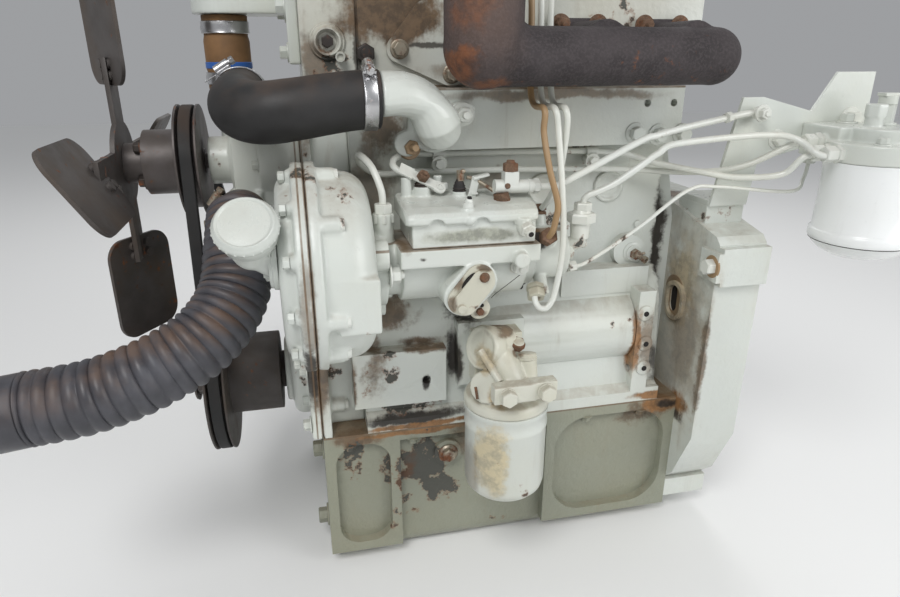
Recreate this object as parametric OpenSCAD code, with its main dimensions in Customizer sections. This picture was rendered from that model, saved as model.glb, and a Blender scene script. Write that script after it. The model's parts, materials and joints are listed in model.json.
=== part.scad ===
// Dressed three-cylinder tractor diesel engine, as it stands out of the tractor.
// X runs along the crankshaft towards the flywheel, Y towards the engine's right-hand side, Z up.
// The origin is on the crankshaft's axis, in the rear face of the flywheel housing.

/* [Block and sump] */
// Length of the cylinder block, without its neck to the flywheel housing
block_len = 369; // [360:1:390]
// Length of the block's rear neck
neck_len = 28; // [24:1:34]
// Half width of the cylinder wall
wall_half = 100; // [96:1:103]
// Height of the block's top face above the crankshaft
deck_z = 358; // [354:1:366]
// Depth of the sump's floor below the crankshaft
sump_depth = 205; // [195:1:240]
// Height of the cylinder head
head_h = 92; // [80:1:110]
// Height of the rocker cover
rocker_h = 96; // [70:1:120]

/* [Flywheel end] */
// Length of the flywheel housing
housing_len = 60; // [56:1:80]
// Half width of the flywheel housing
housing_half = 192; // [188:1:205]
// Radius of the flywheel without its teeth
flywheel_r = 146; // [120:1:152]
// Number of teeth on the starter ring
ring_teeth = 115; // [90:1:130]

/* [Timing case] */
// Depth of the timing case behind its flange
case_depth = 40; // [36:1:50]
// Radius of the pump gear's lobe
lobe_r = 104; // [98:1:108]
// Distance of the pump's axis from the crankshaft, to the left
pump_y = 168; // [164:1:174]
// Height of the pump's axis above the crankshaft
pump_z = 190; // [186:1:196]

/* [Belt drive and fan] */
// Height of the fan's axis above the crankshaft
fan_z = 275; // [270:1:282]
// Distance of the belt ahead of the timing cover
belt_out = 108; // [104:1:114]
// Radius of the belt on the crankshaft pulley
crank_belt_r = 90; // [80:1:98]
// Radius of the belt on the fan pulley
fan_belt_r = 58; // [52:1:62]
// Radius of the belt on the dynamo pulley
dynamo_belt_r = 38; // [34:1:44]
// Radius of the fan over its blades
fan_r = 205; // [185:1:215]
// Pitch of the fan's blades in degrees
blade_pitch = 32; // [20:1:38]

/* [Hoses] */
// Outer radius of the ribbed bottom hose
ribbed_r = 36; // [33:1:37]
// Number of ribs on the bottom hose
rib_count = 24; // [18:1:28]
// Outer radius of the top hose
top_hose_r = 27; // [25:1:29]

/* [Filters] */
// Radius of the oil filter's can
oil_can_r = 46; // [40:1:48]
// Radius of the fuel filter's bowl
fuel_bowl_r = 52; // [44:1:54]

/* [Hidden] */
$fn = 64;

// Stations along the crankshaft, from the rear forward
x_house = -housing_len;
x_rear = x_house - neck_len;
x_block = x_rear - block_len;
x_case = x_block - case_depth;
flange_t = 11;
x_flange = x_case - flange_t;
cover_t = 12;
x_cover = x_flange - cover_t;
x_belt = x_cover - belt_out;
fan_gap = 77;
x_fan = x_belt - fan_gap;
x_mid = (x_block + x_rear) / 2;
bore_pitch = 117;
bore_x = x_mid + 14.5;

// Levels and widths of the block
sump_top = -22;
sump_z = -sump_depth;
rail_half = wall_half + 30;
rail_z = deck_z - 62;
rail_front = x_block + 57;
head_half = wall_half + 5;
head_front = x_block - 43;
head_rear = x_rear + 26;
head_z = deck_z + head_h;
rocker_z = head_z + rocker_h;
shoulder_z = 145;
flange_half = 150;
flange_in = flange_half - 12;
skirt_edge = [[flange_half, sump_top], [flange_half, sump_top + 14], [flange_in, 0],
    [flange_in - 6, 50], [flange_in - 9, 100], [flange_in - 16, 128], [wall_half + 8, shoulder_z]];
skirt = concat([for (i = [0 : 6]) [-skirt_edge[i].x, skirt_edge[i].y]],
    [for (i = [6 : -1 : 0]) skirt_edge[i]]);

// Fits and seats
run_fit = 0.05;
seat = 0.3;
belt_gap = 0.4;
belt_w = 13;
belt_h = 9;

// Paint and metal colours
paint = [0.79, 0.79, 0.74];
dark_iron = [0.30, 0.27, 0.28];
black_rubber = [0.10, 0.10, 0.11];
bright = [0.70, 0.71, 0.72];
rust = [0.45, 0.28, 0.18];
fan_brown = [0.24, 0.20, 0.18];

// Plain solids along each axis
module xcyl(r, x0, x1, y = 0, z = 0) {
    translate([x0, y, z]) rotate([0, 90, 0]) cylinder(r = r, h = x1 - x0);
}
module ycyl(r, y0, y1, x = 0, z = 0) {
    translate([x, y1, z]) rotate([90, 0, 0]) cylinder(r = r, h = y1 - y0);
}
module zcyl(r, z0, z1, x = 0, y = 0) {
    translate([x, y, z0]) cylinder(r = r, h = z1 - z0);
}
module xhex(across, x0, x1, y = 0, z = 0) {
    translate([x0, y, z]) rotate([0, 90, 0]) cylinder(d = across / cos(30), h = x1 - x0, $fn = 6);
}
module yhex(across, y0, y1, x = 0, z = 0) {
    translate([x, y1, z]) rotate([90, 0, 0]) cylinder(d = across / cos(30), h = y1 - y0, $fn = 6);
}
module zhex(across, z0, z1, x = 0, y = 0) {
    translate([x, y, z0]) cylinder(d = across / cos(30), h = z1 - z0, $fn = 6);
}
module bar(x0, x1, y0, y1, z0, z1) {
    translate([x0, y0, z0]) cube([x1 - x0, y1 - y0, z1 - z0]);
}
// An outline in the Y-Z plane, drawn out along X
module along_x(x0, x1) {
    translate([x0, 0, 0]) rotate([90, 0, 90]) linear_extrude(x1 - x0) children();
}
// An outline in the X-Z plane, drawn out along Y
module along_y(y0, y1) {
    translate([0, y1, 0]) rotate([90, 0, 0]) linear_extrude(y1 - y0) children();
}
module rod(p, q, r) {
    v = q - p;
    l = norm(v);
    translate(p) rotate([0, acos(v.z / l), atan2(v.y, v.x)]) cylinder(r = r, h = l);
}
// A smooth curve through a path's points, t from 0 to 1
function spline(p, t) = let (n = len(p) - 1, i = min(floor(t * n), n - 1), u = t * n - i,
    a = p[max(i - 1, 0)], b = p[i], c = p[i + 1], d = p[min(i + 2, n)])
    0.5 * (2 * b + (c - a) * u + (2 * a - 5 * b + 4 * c - d) * u * u
    + (3 * b - a - 3 * c + d) * u * u * u);
function unit(v) = v / norm(v);
// A tube along a path, with one ring for each entry of the list of radii
sweep_ref = [1, -0.7, 0.6];
module swept(path, radii, sides) {
    last = len(radii) - 1;
    tip = len(path) - 1;
    centres = [for (i = [0 : last]) spline(path, i / last)];
    points = [for (i = [0 : last]) let (
            v = unit(i == 0 ? path[1] - path[0] : i == last ? path[tip] - path[tip - 1]
                : centres[i + 1] - centres[i - 1]),
            s = unit(cross(v, sweep_ref)), w = cross(s, v))
        for (k = [0 : sides - 1]) let (a = 360 * k / sides)
            centres[i] + radii[i] * (cos(a) * s + sin(a) * w)];
    faces = [for (i = [0 : last - 1], k = [0 : sides - 1]) let (
            a = i * sides + k, b = i * sides + (k + 1) % sides)
        [a, b, b + sides, a + sides]];
    ends = [[for (k = [sides - 1 : -1 : 0]) k], [for (k = [0 : sides - 1]) last * sides + k]];
    polyhedron(points = points, faces = concat(faces, ends));
}
// A pipe of one radius with smooth bends
bend_rings = 3;
module pipe(path, r) {
    swept(path, [for (i = [0 : (len(path) - 1) * bend_rings]) r], 8);
}
// A flat rectangle with round corners, from its lower left corner
module rounded(w, h, r) {
    translate([r, 0]) square([w - 2 * r, h]);
    translate([0, r]) square([w, h - 2 * r]);
    for (x = [r, w - r], y = [r, h - r]) translate([x, y]) circle(r);
}
// A disc along X whose edge at the far end is rounded
module domed_disc(r, x0, x1, y, z, e) {
    s = sign(x1 - x0);
    translate([x0, y, z]) rotate([0, 90 * s, 0]) {
        cylinder(r = r, h = abs(x1 - x0) - e);
        cylinder(r = r - e, h = abs(x1 - x0));
        translate([0, 0, abs(x1 - x0) - e]) rotate_extrude() translate([r - e, 0]) circle(e);
    }
}
module mirrored_y() {
    children();
    mirror([0, 1, 0]) children();
}

// Cylinder block with its head rail, crankcase skirt and rear flange
box_x = [x_block - 13, x_block + 93];
bulge_x = [x_rear - 204, x_rear - 40];
bulge_z = 72;
bulge_r = 48;
bulge_y = bulge_r - flange_half;
flange_holes = [20, 53, 94];
filter_pad_x = [x_mid - 77.5, x_mid + 0.5];
dynamo_pad_x = [x_block + 7, x_block + 47];
dynamo_pad_z = [66, 97.7];
dynamo_pad_y = flange_in - 2;
dipstick_pad = [x_rear - 127, flange_in - 2, 119];
ledge_z = [118, 150];
tap_x = x_rear - 39;
tap_z = 166;
rear_face_x = x_rear - 18;
module engine_block() {
    color(paint) difference() {
        union() {
            bar(x_block, x_rear, -wall_half, wall_half, shoulder_z - 1, deck_z);
            mirrored_y() bar(rail_front, x_rear, wall_half - 1, rail_half, rail_z, deck_z);
            along_x(x_block, x_rear) polygon(skirt);
            along_x(x_rear - 1, x_house) polygon([[-90, sump_top], [-90, 200], [-60, 286],
                [60, 286], [90, 200], [90, sump_top]]);
            xcyl(bulge_r, bulge_x[0], bulge_x[1], bulge_y, bulge_z);
            translate([bulge_x[0], bulge_y, bulge_z]) sphere(bulge_r);
            bar(rear_face_x - 21, rear_face_x, -flange_half, -wall_half, sump_top + 2, 126);
            bar(rear_face_x - 1, x_rear, -flange_half, -wall_half, sump_top + 2, -4);
            bar(rear_face_x - 112, rear_face_x, -wall_half - 26, -wall_half,
                ledge_z[0], ledge_z[1]);
            bar(filter_pad_x[0], filter_pad_x[1], -flange_half, -120, 28, 106);
            bar(box_x[0], box_x[1], -flange_half, -120, 11, 78);
            bar(dynamo_pad_x[0], dynamo_pad_x[1], 110, dynamo_pad_y, dynamo_pad_z[0], 100);
            bar(dipstick_pad.x - 12, dipstick_pad.x + 12, wall_half, dipstick_pad.y + 10,
                106, dipstick_pad.z);
            ycyl(20, -wall_half - 12, -wall_half + 10, tap_x, tap_z);
            ycyl(15, -wall_half - 12, -wall_half + 10, tap_x - 103, tap_z);
        }
        for (z = flange_holes) xcyl(5, rear_face_x - 22, rear_face_x + 1, -flange_in, z);
        ycyl(5, -flange_half - 10, -flange_half + 10, x_block + 70, 40);
        for (x = [-12, -44]) ycyl(4, -rail_half - 10, -rail_half + 10, x_rear + x, deck_z - 18);
    }
}

// Cast sump with its bolting flange, front pad and framed side panels
sump_half = flange_in;
sump_front = x_flange;
front_bolt_r = 7;
front_bolt_y = 100;
front_bolt_z = [sump_z + 40, sump_z + 140];
frame_w = 12;
frame_z = sump_z + 18;
level_plug = [x_mid - 88, sump_top - 44];
// A raised frame on the sump's side, round a panel with round corners
module side_frame(x0, x1, r) {
    along_y(-flange_half, -sump_half + 1) difference() {
        translate([x0, frame_z]) square([x1 - x0, sump_top - frame_z - 2]);
        translate([x0 + frame_w, frame_z + frame_w])
            rounded(x1 - x0 - 2 * frame_w, sump_top - frame_z - 2 * frame_w - 2, r);
    }
}
module sump() {
    color(paint) difference() {
        union() {
            bar(sump_front, x_house, -flange_half, flange_half, sump_top - 14, sump_top);
            along_x(sump_front, x_house) translate([-sump_half, sump_z])
                rounded(2 * sump_half, sump_top - sump_z - 4, 26);
            mirrored_y() {
                side_frame(sump_front, sump_front + 88, 26);
                side_frame(x_house - 176, x_house, 44);
                ycyl(17, -flange_half + 6, -sump_half + 8, level_plug.x, level_plug.y);
            }
        }
        for (y = [-front_bolt_y, front_bolt_y], z = front_bolt_z)
            xcyl(front_bolt_r, sump_front - 1, sump_front + 20, y, z);
    }
}

// Flywheel housing: a shallow bell with lugs, a timing window and a bolting face
wall_t = 14;
bell_r = 168;
crank_hole_r = 50;
rear_register_r = 174;
rear_register_d = 5;
lug_z = 166;
rear_hole_r = 6.5;
rear_holes_y = 180;
rear_holes_z = [-30, 165];
lug_pad_y = 150;
lug_pad_z = 226;
window_y = -122;
window_z = 100;
window_w = 30;
window_h = 40;
starter_y = flange_half + 32;
starter_z = 60;
starter_r = 46;
module housing_outline() {
    h = housing_half;
    polygon([[-h, -60], [-h, 190], [-h + 8, 198], [-70, 222], [70, 222], [h - 8, 198], [h, 190],
        [h, -60], [h - 30, -130], [h - 60, -160], [60 - h, -160], [30 - h, -130]]);
    circle(186);
    translate([starter_y, starter_z]) circle(starter_r + 8);
}
module window_outline(grow) {
    translate([window_y - window_w / 2 - grow, window_z - window_h / 2 - grow])
        rounded(window_w + 2 * grow, window_h + 2 * grow, window_w / 2 + grow - 1);
}
module flywheel_housing() {
    color(paint) difference() {
        union() {
            along_x(x_house, 0) housing_outline();
            mirrored_y() {
                bar(x_house - 6, x_house + 1, -202, -168, lug_z - 17, lug_z + 17);
                bar(x_house, 0, -202, -180, lug_z - 22, lug_z + 22);
                bar(x_house, 0, -lug_pad_y, -100, -176, -150);
                bar(x_house + 6, -6, -lug_pad_y, -92, 200, lug_pad_z);
            }
            along_x(x_house - 5, x_house + 1) window_outline(5);
        }
        xcyl(bell_r, x_house + wall_t, 1);
        xcyl(rear_register_r, -rear_register_d, 1);
        xcyl(crank_hole_r, x_house - 1, 0);
        along_x(x_house - 6, 0) window_outline(0);
        xcyl(starter_r - 8, x_house - 1, x_house + wall_t + 1, starter_y, starter_z);
        for (y = [-rear_holes_y, rear_holes_y], z = rear_holes_z)
            xcyl(rear_hole_r, -25, 1, y, z);
    }
}

// Cylinder head and its rocker cover
rocker_half = 74;
rocker_x = [x_block + 19, x_rear - 16];
gasket_t = 8;
module cylinder_head() {
    color(paint) difference() {
        bar(head_front, head_rear, -head_half, head_half, deck_z, head_z);
        along_y(-head_half - 1, -head_half + 4) translate([x_block + 11, deck_z + 2])
            square([3, head_h - 8]);
    }
}
module rocker_cover() {
    color(paint) {
        bar(rocker_x[0] - 8, rocker_x[1] + 8, -rocker_half - 10, rocker_half + 10,
            head_z, head_z + gasket_t);
        along_x(rocker_x[0], rocker_x[1]) {
            translate([-rocker_half, head_z + gasket_t - 1])
                square([2 * rocker_half, rocker_h - 47]);
            translate([-rocker_half, rocker_z - 80]) rounded(2 * rocker_half, 80, 38);
        }
        for (x = [rocker_x[0] + 78, rocker_x[1] - 76]) zcyl(11, rocker_z - 2, rocker_z + 12, x);
    }
}

// Timing case: the outline covers the gears, the lobe covers the pump's gear
case_top = deck_z - 13;
case_edge = [[flange_half, sump_top], [flange_in - 4, 20], [128, 110], [104, 240], [80, case_top]];
case_shape = concat([for (i = [0 : 4]) [-case_edge[i].x, case_edge[i].y]],
    [for (i = [4 : -1 : 0]) case_edge[i]]);
boss_angles = [100, 141, 195, 223, 262];
seal_r = 42;
nose_r = 24;
module case_outline() {
    polygon(case_shape);
    translate([-pump_y, pump_z]) circle(lobe_r);
}
module timing_case() {
    color(paint) difference() {
        union() {
            along_x(x_flange, x_case) case_outline();
            along_x(x_case - 1, x_block) intersection() {
                translate([0, sump_top]) polygon([[-118, 0], [-118, 120], [-84, 300], [-66, 362],
                    [66, 362], [84, 300], [118, 120], [118, 0]]);
                polygon(case_shape);
            }
            domed_disc(lobe_r - 10, x_case - 1, x_block + 9, -pump_y, pump_z, 26);
            bar(x_block - 30, x_block + 9, -pump_y - lobe_r + 10, -pump_y - 12,
                pump_z - 40, pump_z + 14);
            for (a = boss_angles) xcyl(8, x_case - 1, x_case + 18,
                -pump_y + (lobe_r - 9) * cos(a), pump_z + (lobe_r - 9) * sin(a));
            xcyl(8, x_case - 1, x_case + 18, -120, 4);
        }
        along_x(x_block, x_block + 30) {
            polygon(skirt);
            translate([-wall_half, shoulder_z]) square([2 * wall_half, 300]);
        }
        xcyl(nose_r + 6, x_flange - 1, x_block + 20);
    }
}

// Front cover over the gears with the crankshaft's seal boss
pump_panel_z = 228.7;
module timing_cover() {
    color(paint) difference() {
        union() {
            along_x(x_cover, x_flange) {
                intersection() {
                    case_outline();
                    translate([-300, sump_top]) square([600, pump_panel_z - sump_top]);
                }
                translate([-pump_y, pump_z]) circle(lobe_r);
            }
            domed_disc(lobe_r - 14, x_cover + 1, x_dome, -pump_y, pump_z, 12);
            domed_disc(78, x_cover + 1, x_cover - 20, 0, 20, 12);
            domed_disc(72, x_cover + 1, x_cover - 16, 30, 130, 12);
            for (a = [100 : 30 : 250]) xcyl(7, x_cover - 5, x_cover + 1,
                -pump_y + (lobe_r - 9) * cos(a), pump_z + (lobe_r - 9) * sin(a));
            xcyl(seal_r, x_cover - 28, x_cover, 0, 0);
        }
        xcyl(nose_r + run_fit, x_cover - 40, x_flange + 1);
    }
}

// Water pump with its bearing nose, volute and two necks
pump_shaft_r = 9;
top_hose_x = x_cover - 44;
top_hose_z = deck_z - 8;
neck_end_y = -64;
ribbed_start = [x_cover - 56, neck_end_y, 224];
hose_neck_r = 21.9;
bypass_neck_r = 17.7;
module water_pump() {
    color(paint) difference() {
        union() {
            bar(x_cover, x_flange, -58, 58, pump_panel_z + 0.3, case_top);
            xcyl(58, x_cover - 34, x_cover, 0, fan_z);
            xcyl(40, x_cover - 66, x_cover - 30, 0, fan_z);
            xcyl(27, x_belt + 18, x_cover - 60, 0, fan_z);
            bar(x_cover - 62, x_cover - 16, -50, 30, fan_z - 46, fan_z + 46);
            ycyl(hose_neck_r, neck_end_y, -20, top_hose_x, top_hose_z);
            translate([top_hose_x, -20, top_hose_z]) sphere(24);
            zcyl(22, fan_z + 20, top_hose_z, top_hose_x, -20);
            ycyl(hose_neck_r, neck_end_y, -20, ribbed_start.x, ribbed_start.z);
            translate([ribbed_start.x, -20, ribbed_start.z]) sphere(24);
            zcyl(bypass_neck_r, fan_z, bypass_z + 20, stat_x, stat_y);
            for (z = [fan_z - 34, fan_z + 34]) xhex(14, x_cover - 40, x_cover - 33, -48, z);
        }
        xcyl(pump_shaft_r + run_fit, x_belt + 10, x_cover - 20, 0, fan_z);
    }
}

// Thermostat housing on the head's front end, and the bypass hose below it
stat_x = x_cover - 60;
stat_y = 30;
stat_z = head_z - 2;
stat_r = 34;
bypass_r = 25;
bypass_z = deck_z - 6;
module thermostat_housing() {
    color(paint) {
        bar(head_front - 12, head_front, -60, 60, deck_z + 22, head_z);
        zcyl(stat_r, stat_z - 16, stat_z + 34, stat_x, stat_y);
        bar(stat_x, head_front - 1, stat_y - stat_r, stat_y + stat_r, stat_z - 16, stat_z + 14);
        zcyl(stat_r + 6, stat_z + 34, stat_z + 44, stat_x, stat_y);
        zcyl(24, stat_z + 44, stat_z + 60, stat_x, stat_y);
        zcyl(bypass_neck_r, stat_z - 40, stat_z - 15, stat_x, stat_y);
    }
}
module bypass_hose() {
    color(rust) difference() {
        zcyl(bypass_r, bypass_z, stat_z - 16 - seat, stat_x, stat_y);
        zcyl(bypass_neck_r + seat, bypass_z - 1, stat_z - 15, stat_x, stat_y);
    }
}

// Cast elbow that brings water into the block's rail, tapering as it turns
elbow_z = deck_z - 8;
elbow_y = -rail_half - 34;
elbow_end = x_block + 11;
elbow_foot = [x_block + 84, -rail_half - 8, deck_z - 46];
elbow_path = [[elbow_end + 16, elbow_y, elbow_z], [elbow_end + 38, elbow_y, elbow_z],
    [elbow_end + 60, elbow_y + 3, elbow_z - 12], elbow_foot - [0, 20, 0], elbow_foot];
elbow_rings = 14;
elbow_r = [26, 22];
module water_elbow() {
    color(paint) {
        xcyl(hose_neck_r, elbow_end, elbow_end + 18, elbow_y, elbow_z);
        swept(elbow_path, [for (i = [0 : elbow_rings])
            elbow_r[0] + (elbow_r[1] - elbow_r[0]) * i / elbow_rings], 20);
        along_y(-rail_half - 12, -rail_half) {
            translate([elbow_foot.x, elbow_foot.z]) circle(28);
            for (s = [-1, 1]) translate([elbow_foot.x + s * 29, elbow_foot.z + s * 18]) circle(13);
        }
    }
}

// Smooth top hose: straight along the engine, then one bend into the pump
bend_r = 46;
module top_hose() {
    x_bend = top_hose_x + bend_r;
    y_bend = elbow_y + bend_r;
    color(black_rubber) difference() {
        union() {
            xcyl(top_hose_r, x_bend, elbow_end + 14, elbow_y, elbow_z);
            translate([x_bend, y_bend, elbow_z]) rotate([0, 0, 180])
                rotate_extrude(angle = 90) translate([bend_r, 0]) circle(top_hose_r);
            ycyl(top_hose_r, y_bend, neck_end_y + 18, top_hose_x, top_hose_z);
        }
        xcyl(hose_neck_r + seat, elbow_end, elbow_end + 15, elbow_y, elbow_z);
        ycyl(hose_neck_r + seat, neck_end_y, neck_end_y + 19, top_hose_x, top_hose_z);
    }
}
// A worm-drive clip that lies on a hose of radius r
module clamp_ring(r, w) {
    difference() {
        cylinder(r = r + seat + 1.6, h = w);
        translate([0, 0, -1]) cylinder(r = r + seat, h = w + 2);
    }
    translate([r + seat + 1.2, -7, 0]) cube([11, 14, w]);
}
clip_w = 13;
module hose_clamps() {
    color(bright) {
        translate([elbow_end - 2, elbow_y, elbow_z]) rotate([0, 90, 0]) rotate([0, 0, 180])
            clamp_ring(top_hose_r, clip_w);
        translate([top_hose_x, neck_end_y + 14, top_hose_z]) rotate([90, 0, 0]) rotate([0, 0, 90])
            clamp_ring(top_hose_r, clip_w);
        for (z = [bypass_z + 6, stat_z - 36])
            translate([stat_x, stat_y, z]) rotate([0, 0, 120]) clamp_ring(bypass_r, clip_w);
    }
}

// Ribbed bottom hose, swept along a smooth curve from its plain cuff on the pump's neck
ribbed_path = [ribbed_start - [0, 0.5, 0], ribbed_start + [0, -24, 0], ribbed_start + [-3, -54, -26],
    ribbed_start + [-10, -86, -64],
    [x_cover - 92, -180, 130], [x_cover - 137, -198, 107], [x_cover - 194, -205, 90],
    [x_cover - 250, -207, 84]];
hose_tip = ribbed_path[len(ribbed_path) - 1];
rings_per_rib = 4;
rib_depth = 5;
rib_profile = [1, 0.75, 0, 0.75];
plain_rings = 12;
plain_r = 27;
module bottom_hose() {
    color([0.17, 0.16, 0.16]) swept(ribbed_path, [for (i = [0 : rib_count * rings_per_rib])
        i < plain_rings ? plain_r
            : ribbed_r - rib_depth * (1 - rib_profile[i % rings_per_rib])], 16);
}
cuff_bore_r = 26;
cuff_len = 34;
module hose_cuff() {
    v = unit(hose_tip - ribbed_path[len(ribbed_path) - 2]);
    color([0.17, 0.16, 0.16]) translate(hose_tip + seat * v) rotate([0, acos(v.z), atan2(v.y, v.x)])
        difference() {
            cylinder(r = ribbed_r - 1, h = cuff_len);
            translate([0, 0, 4]) cylinder(r = cuff_bore_r, h = cuff_len);
        }
}

// Lens-shaped cover and the core plugs on the head's left side
lens_x = bore_x - 124;
lens_z = deck_z + 42;
module side_cover() {
    color(paint) {
        along_y(-head_half - 5, -head_half) intersection() {
            translate([lens_x, lens_z - 14]) circle(44);
            translate([lens_x, lens_z + 14]) circle(44);
        }
        yhex(12, -head_half - 11, -head_half - 4, lens_x - 26, lens_z - 4);
        yhex(12, -head_half - 11, -head_half - 4, lens_x + 25, lens_z - 8);
    }
}
plug_x = x_block - 19;
plug_z = deck_z + 47;
module core_plugs() {
    color(bright) {
        ycyl(17, -head_half - 3, -head_half, plug_x, plug_z);
        for (x = [-142, -62]) ycyl(19, -wall_half - 3, -wall_half, x_rear + x, 232);
    }
    color(paint) {
        ycyl(8, -head_half - 16, -head_half, plug_x + 23, plug_z + 9);
        yhex(17, -head_half - 10, -head_half, lens_x - 55, lens_z - 14);
    }
}

// Oil filler: a bent neck on the front cover that leans out, with a lift-off cap
neck_r = 20;
dome_t = 16;
x_dome = x_cover - dome_t;
filler_root = [x_dome + 4, -pump_y - 54, pump_z + 24];
neck_foot = filler_root + [-24, -4, 16];
neck_top = neck_foot + [-2, -20, 20];
cap_axis = unit(neck_top - neck_foot);
cap_tilt = [0, acos(cap_axis.z), atan2(cap_axis.y, cap_axis.x)];
cap_r = 28;
module oil_filler() {
    color(paint) difference() {
        union() {
            rod(filler_root, neck_foot, 18);
            translate(neck_foot) sphere(neck_r + 0.6);
            rod(neck_foot, neck_top, neck_r);
            xcyl(24, x_dome - 8, x_dome + 1, filler_root.y, filler_root.z);
        }
        xcyl(60, x_dome, x_dome + 60, filler_root.y, filler_root.z);
    }
}
module oil_cap() {
    color(paint) translate(neck_top) rotate(cap_tilt) {
        difference() {
            translate([0, 0, -9]) cylinder(r = cap_r - 3, h = 12);
            translate([0, 0, -10]) cylinder(r = neck_r + run_fit, h = 10 + seat);
        }
        translate([0, 0, 2.9]) cylinder(r = cap_r, h = 9);
        translate([0, 0, 11.8]) difference() {
            cylinder(r = cap_r - 2, h = 2.5);
            translate([0, 0, 1]) cylinder(r = cap_r - 5, h = 2);
        }
    }
}

// Rotary injection pump: flange, body, hydraulic head with its outlets, and inlet union
x_pump = x_block + 9;
body_r = 40;
x_body = x_pump + 156;
x_head = x_body + 62;
cover_x = [x_pump + 24, x_pump + 164];
cover_y = [-pump_y - 56, -pump_y + 30];
gasket_z = pump_z + 26;
head_r = 28;
outlets = [[x_body + 28, -pump_y - 30, pump_z + 24], [x_body + 22, -pump_y - 32, pump_z - 38],
    [x_body + 30, -pump_y + 12, pump_z + 38]];
fuel_inlet = [x_pump + 13.4, -pump_y - 18, pump_z + 56];
side_plate = [x_pump + 92, pump_z - 16];
module oval(w, h, tilt) {
    translate(side_plate) rotate(tilt) translate([-w / 2, -h / 2]) rounded(w, h, h / 2 - 0.5);
}
plate_tilt = 46;
plate_y = cover_y[0] - 2;
module injection_pump() {
    color(paint) difference() {
        union() {
            along_x(x_pump, x_pump + 14) {
                translate([-pump_y, pump_z]) circle(44);
                for (a = [35, 155, 275])
                    translate([-pump_y + 44 * cos(a), pump_z + 44 * sin(a)]) circle(15);
            }
            xcyl(34, x_pump + 13, x_pump + 30, -pump_y, pump_z);
            xcyl(body_r, x_pump + 28, x_body, -pump_y, pump_z);
            bar(cover_x[0], cover_x[1], cover_y[0], cover_y[1], pump_z + 8, gasket_z);
            xcyl(head_r + 5, x_body - 1, x_body + 12, -pump_y, pump_z);
            xcyl(head_r, x_body + 11, x_head - 10, -pump_y, pump_z);
            xhex(24, x_head - 11, x_head, -pump_y, pump_z);
            for (o = outlets) rod([o.x, -pump_y, pump_z], o, 7);
            along_y(plate_y, -pump_y - 20) oval(60, 40, plate_tilt);
            rod([side_plate.x + 14, -pump_y - 20, pump_z - 30],
                [side_plate.x + 16, -pump_y - 29, pump_z - 47], 11);
            zcyl(10, pump_z + 20, fuel_inlet.z - 14, fuel_inlet.x, fuel_inlet.y);
            zhex(19, fuel_inlet.z - 15, fuel_inlet.z, fuel_inlet.x, fuel_inlet.y);
            ycyl(8, cover_y[0] - 10, cover_y[0] + 20, cover_x[1] - 22, pump_z + 12);
        }
        bar(cover_x[0], cover_x[1], cover_y[0] - 36, cover_y[1] + 38, gasket_z, gasket_z + 44);
    }
}
cover_h = 57;
cover_top = gasket_z + cover_h;
lever_post = [cover_x[0] + 22, -pump_y - 22];
stop_post = [cover_x[0] + 62, -pump_y - 28];
rod_post = [cover_x[1] - 24, -pump_y - 34];
pocket_d = 5;
module governor_cover() {
    y = cover_y[0];
    color(paint) {
        difference() {
            along_y(y, cover_y[1]) translate([cover_x[0], gasket_z])
                rounded(cover_x[1] - cover_x[0], cover_h, 10);
            bar(cover_x[0] - 1, cover_x[1] + 1, y - 1, y + pocket_d, gasket_z + 7, gasket_z + 22);
            for (x = [cover_x[0] + 46, cover_x[0] + 90])
                ycyl(11, y - 1, y + pocket_d, x, gasket_z + 22);
        }
        bar(cover_x[0], cover_x[1], y - 3, cover_y[1], gasket_z, gasket_z + 7);
        zcyl(8, gasket_z + 30, cover_top - 16, cover_x[0] + 66, y - 2);
        zhex(11, cover_top - 17, cover_top - 8, cover_x[0] + 66, y - 2);
        zcyl(11, cover_top - 1, cover_top + 11, lever_post.x, lever_post.y);
        for (d = [-14, 15])
            zcyl(5.5, cover_top - 1, cover_top + 14, lever_post.x + d, lever_post.y - 7 + d);
        zcyl(10, cover_top - 1, cover_top + 3, rod_post.x, rod_post.y);
        zcyl(7, cover_top - 1, cover_top + 9, stop_post.x, stop_post.y);
        ycyl(8, y - 8, y + 3, cover_x[1] - 20, gasket_z + 15);
    }
}
lever_t = 5;
rod_out = -16;
// A flat strap with round ends, lying along X
module flat_strap(x0, x1, half, t) {
    bar(x0 + half, x1 - half, -half, half, 0, t);
    for (x = [x0 + half, x1 - half]) zcyl(half, 0, t, x);
}
module pump_levers() {
    color(dark_iron) {
        zcyl(5, cover_top + 11, cover_top + 26, lever_post.x, lever_post.y);
        translate([lever_post.x, lever_post.y, cover_top + 15]) rotate([0, 0, -28])
            flat_strap(-26, 34, 7, lever_t);
        zcyl(4, cover_top + 9, cover_top + 14, stop_post.x, stop_post.y);
        zcyl(6.5, cover_top + 13, cover_top + 26, stop_post.x, stop_post.y);
        zcyl(5, cover_top + 3, cover_top + 26, rod_post.x, rod_post.y);
        translate([rod_post.x, rod_post.y, cover_top + 6]) rotate([0, 0, -90])
            flat_strap(-7, -rod_out + 7, 6, lever_t);
    }
}
module pump_side_plate() {
    color(rust) {
        along_y(plate_y - 4, plate_y) oval(58, 38, plate_tilt);
        for (s = [-1, 1]) yhex(9, plate_y - 8, plate_y - 4,
            side_plate.x + s * 20 * cos(plate_tilt), side_plate.y + s * 20 * sin(plate_tilt));
    }
}

// High-pressure pipes rise behind the manifold to the injectors
injector_y = -95;
injector_top = head_z + 24;
pipe_r = 3.2;
union_h = 14;
pipe_top_x = bore_x - 6;
pipe_gap = 11;
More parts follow.
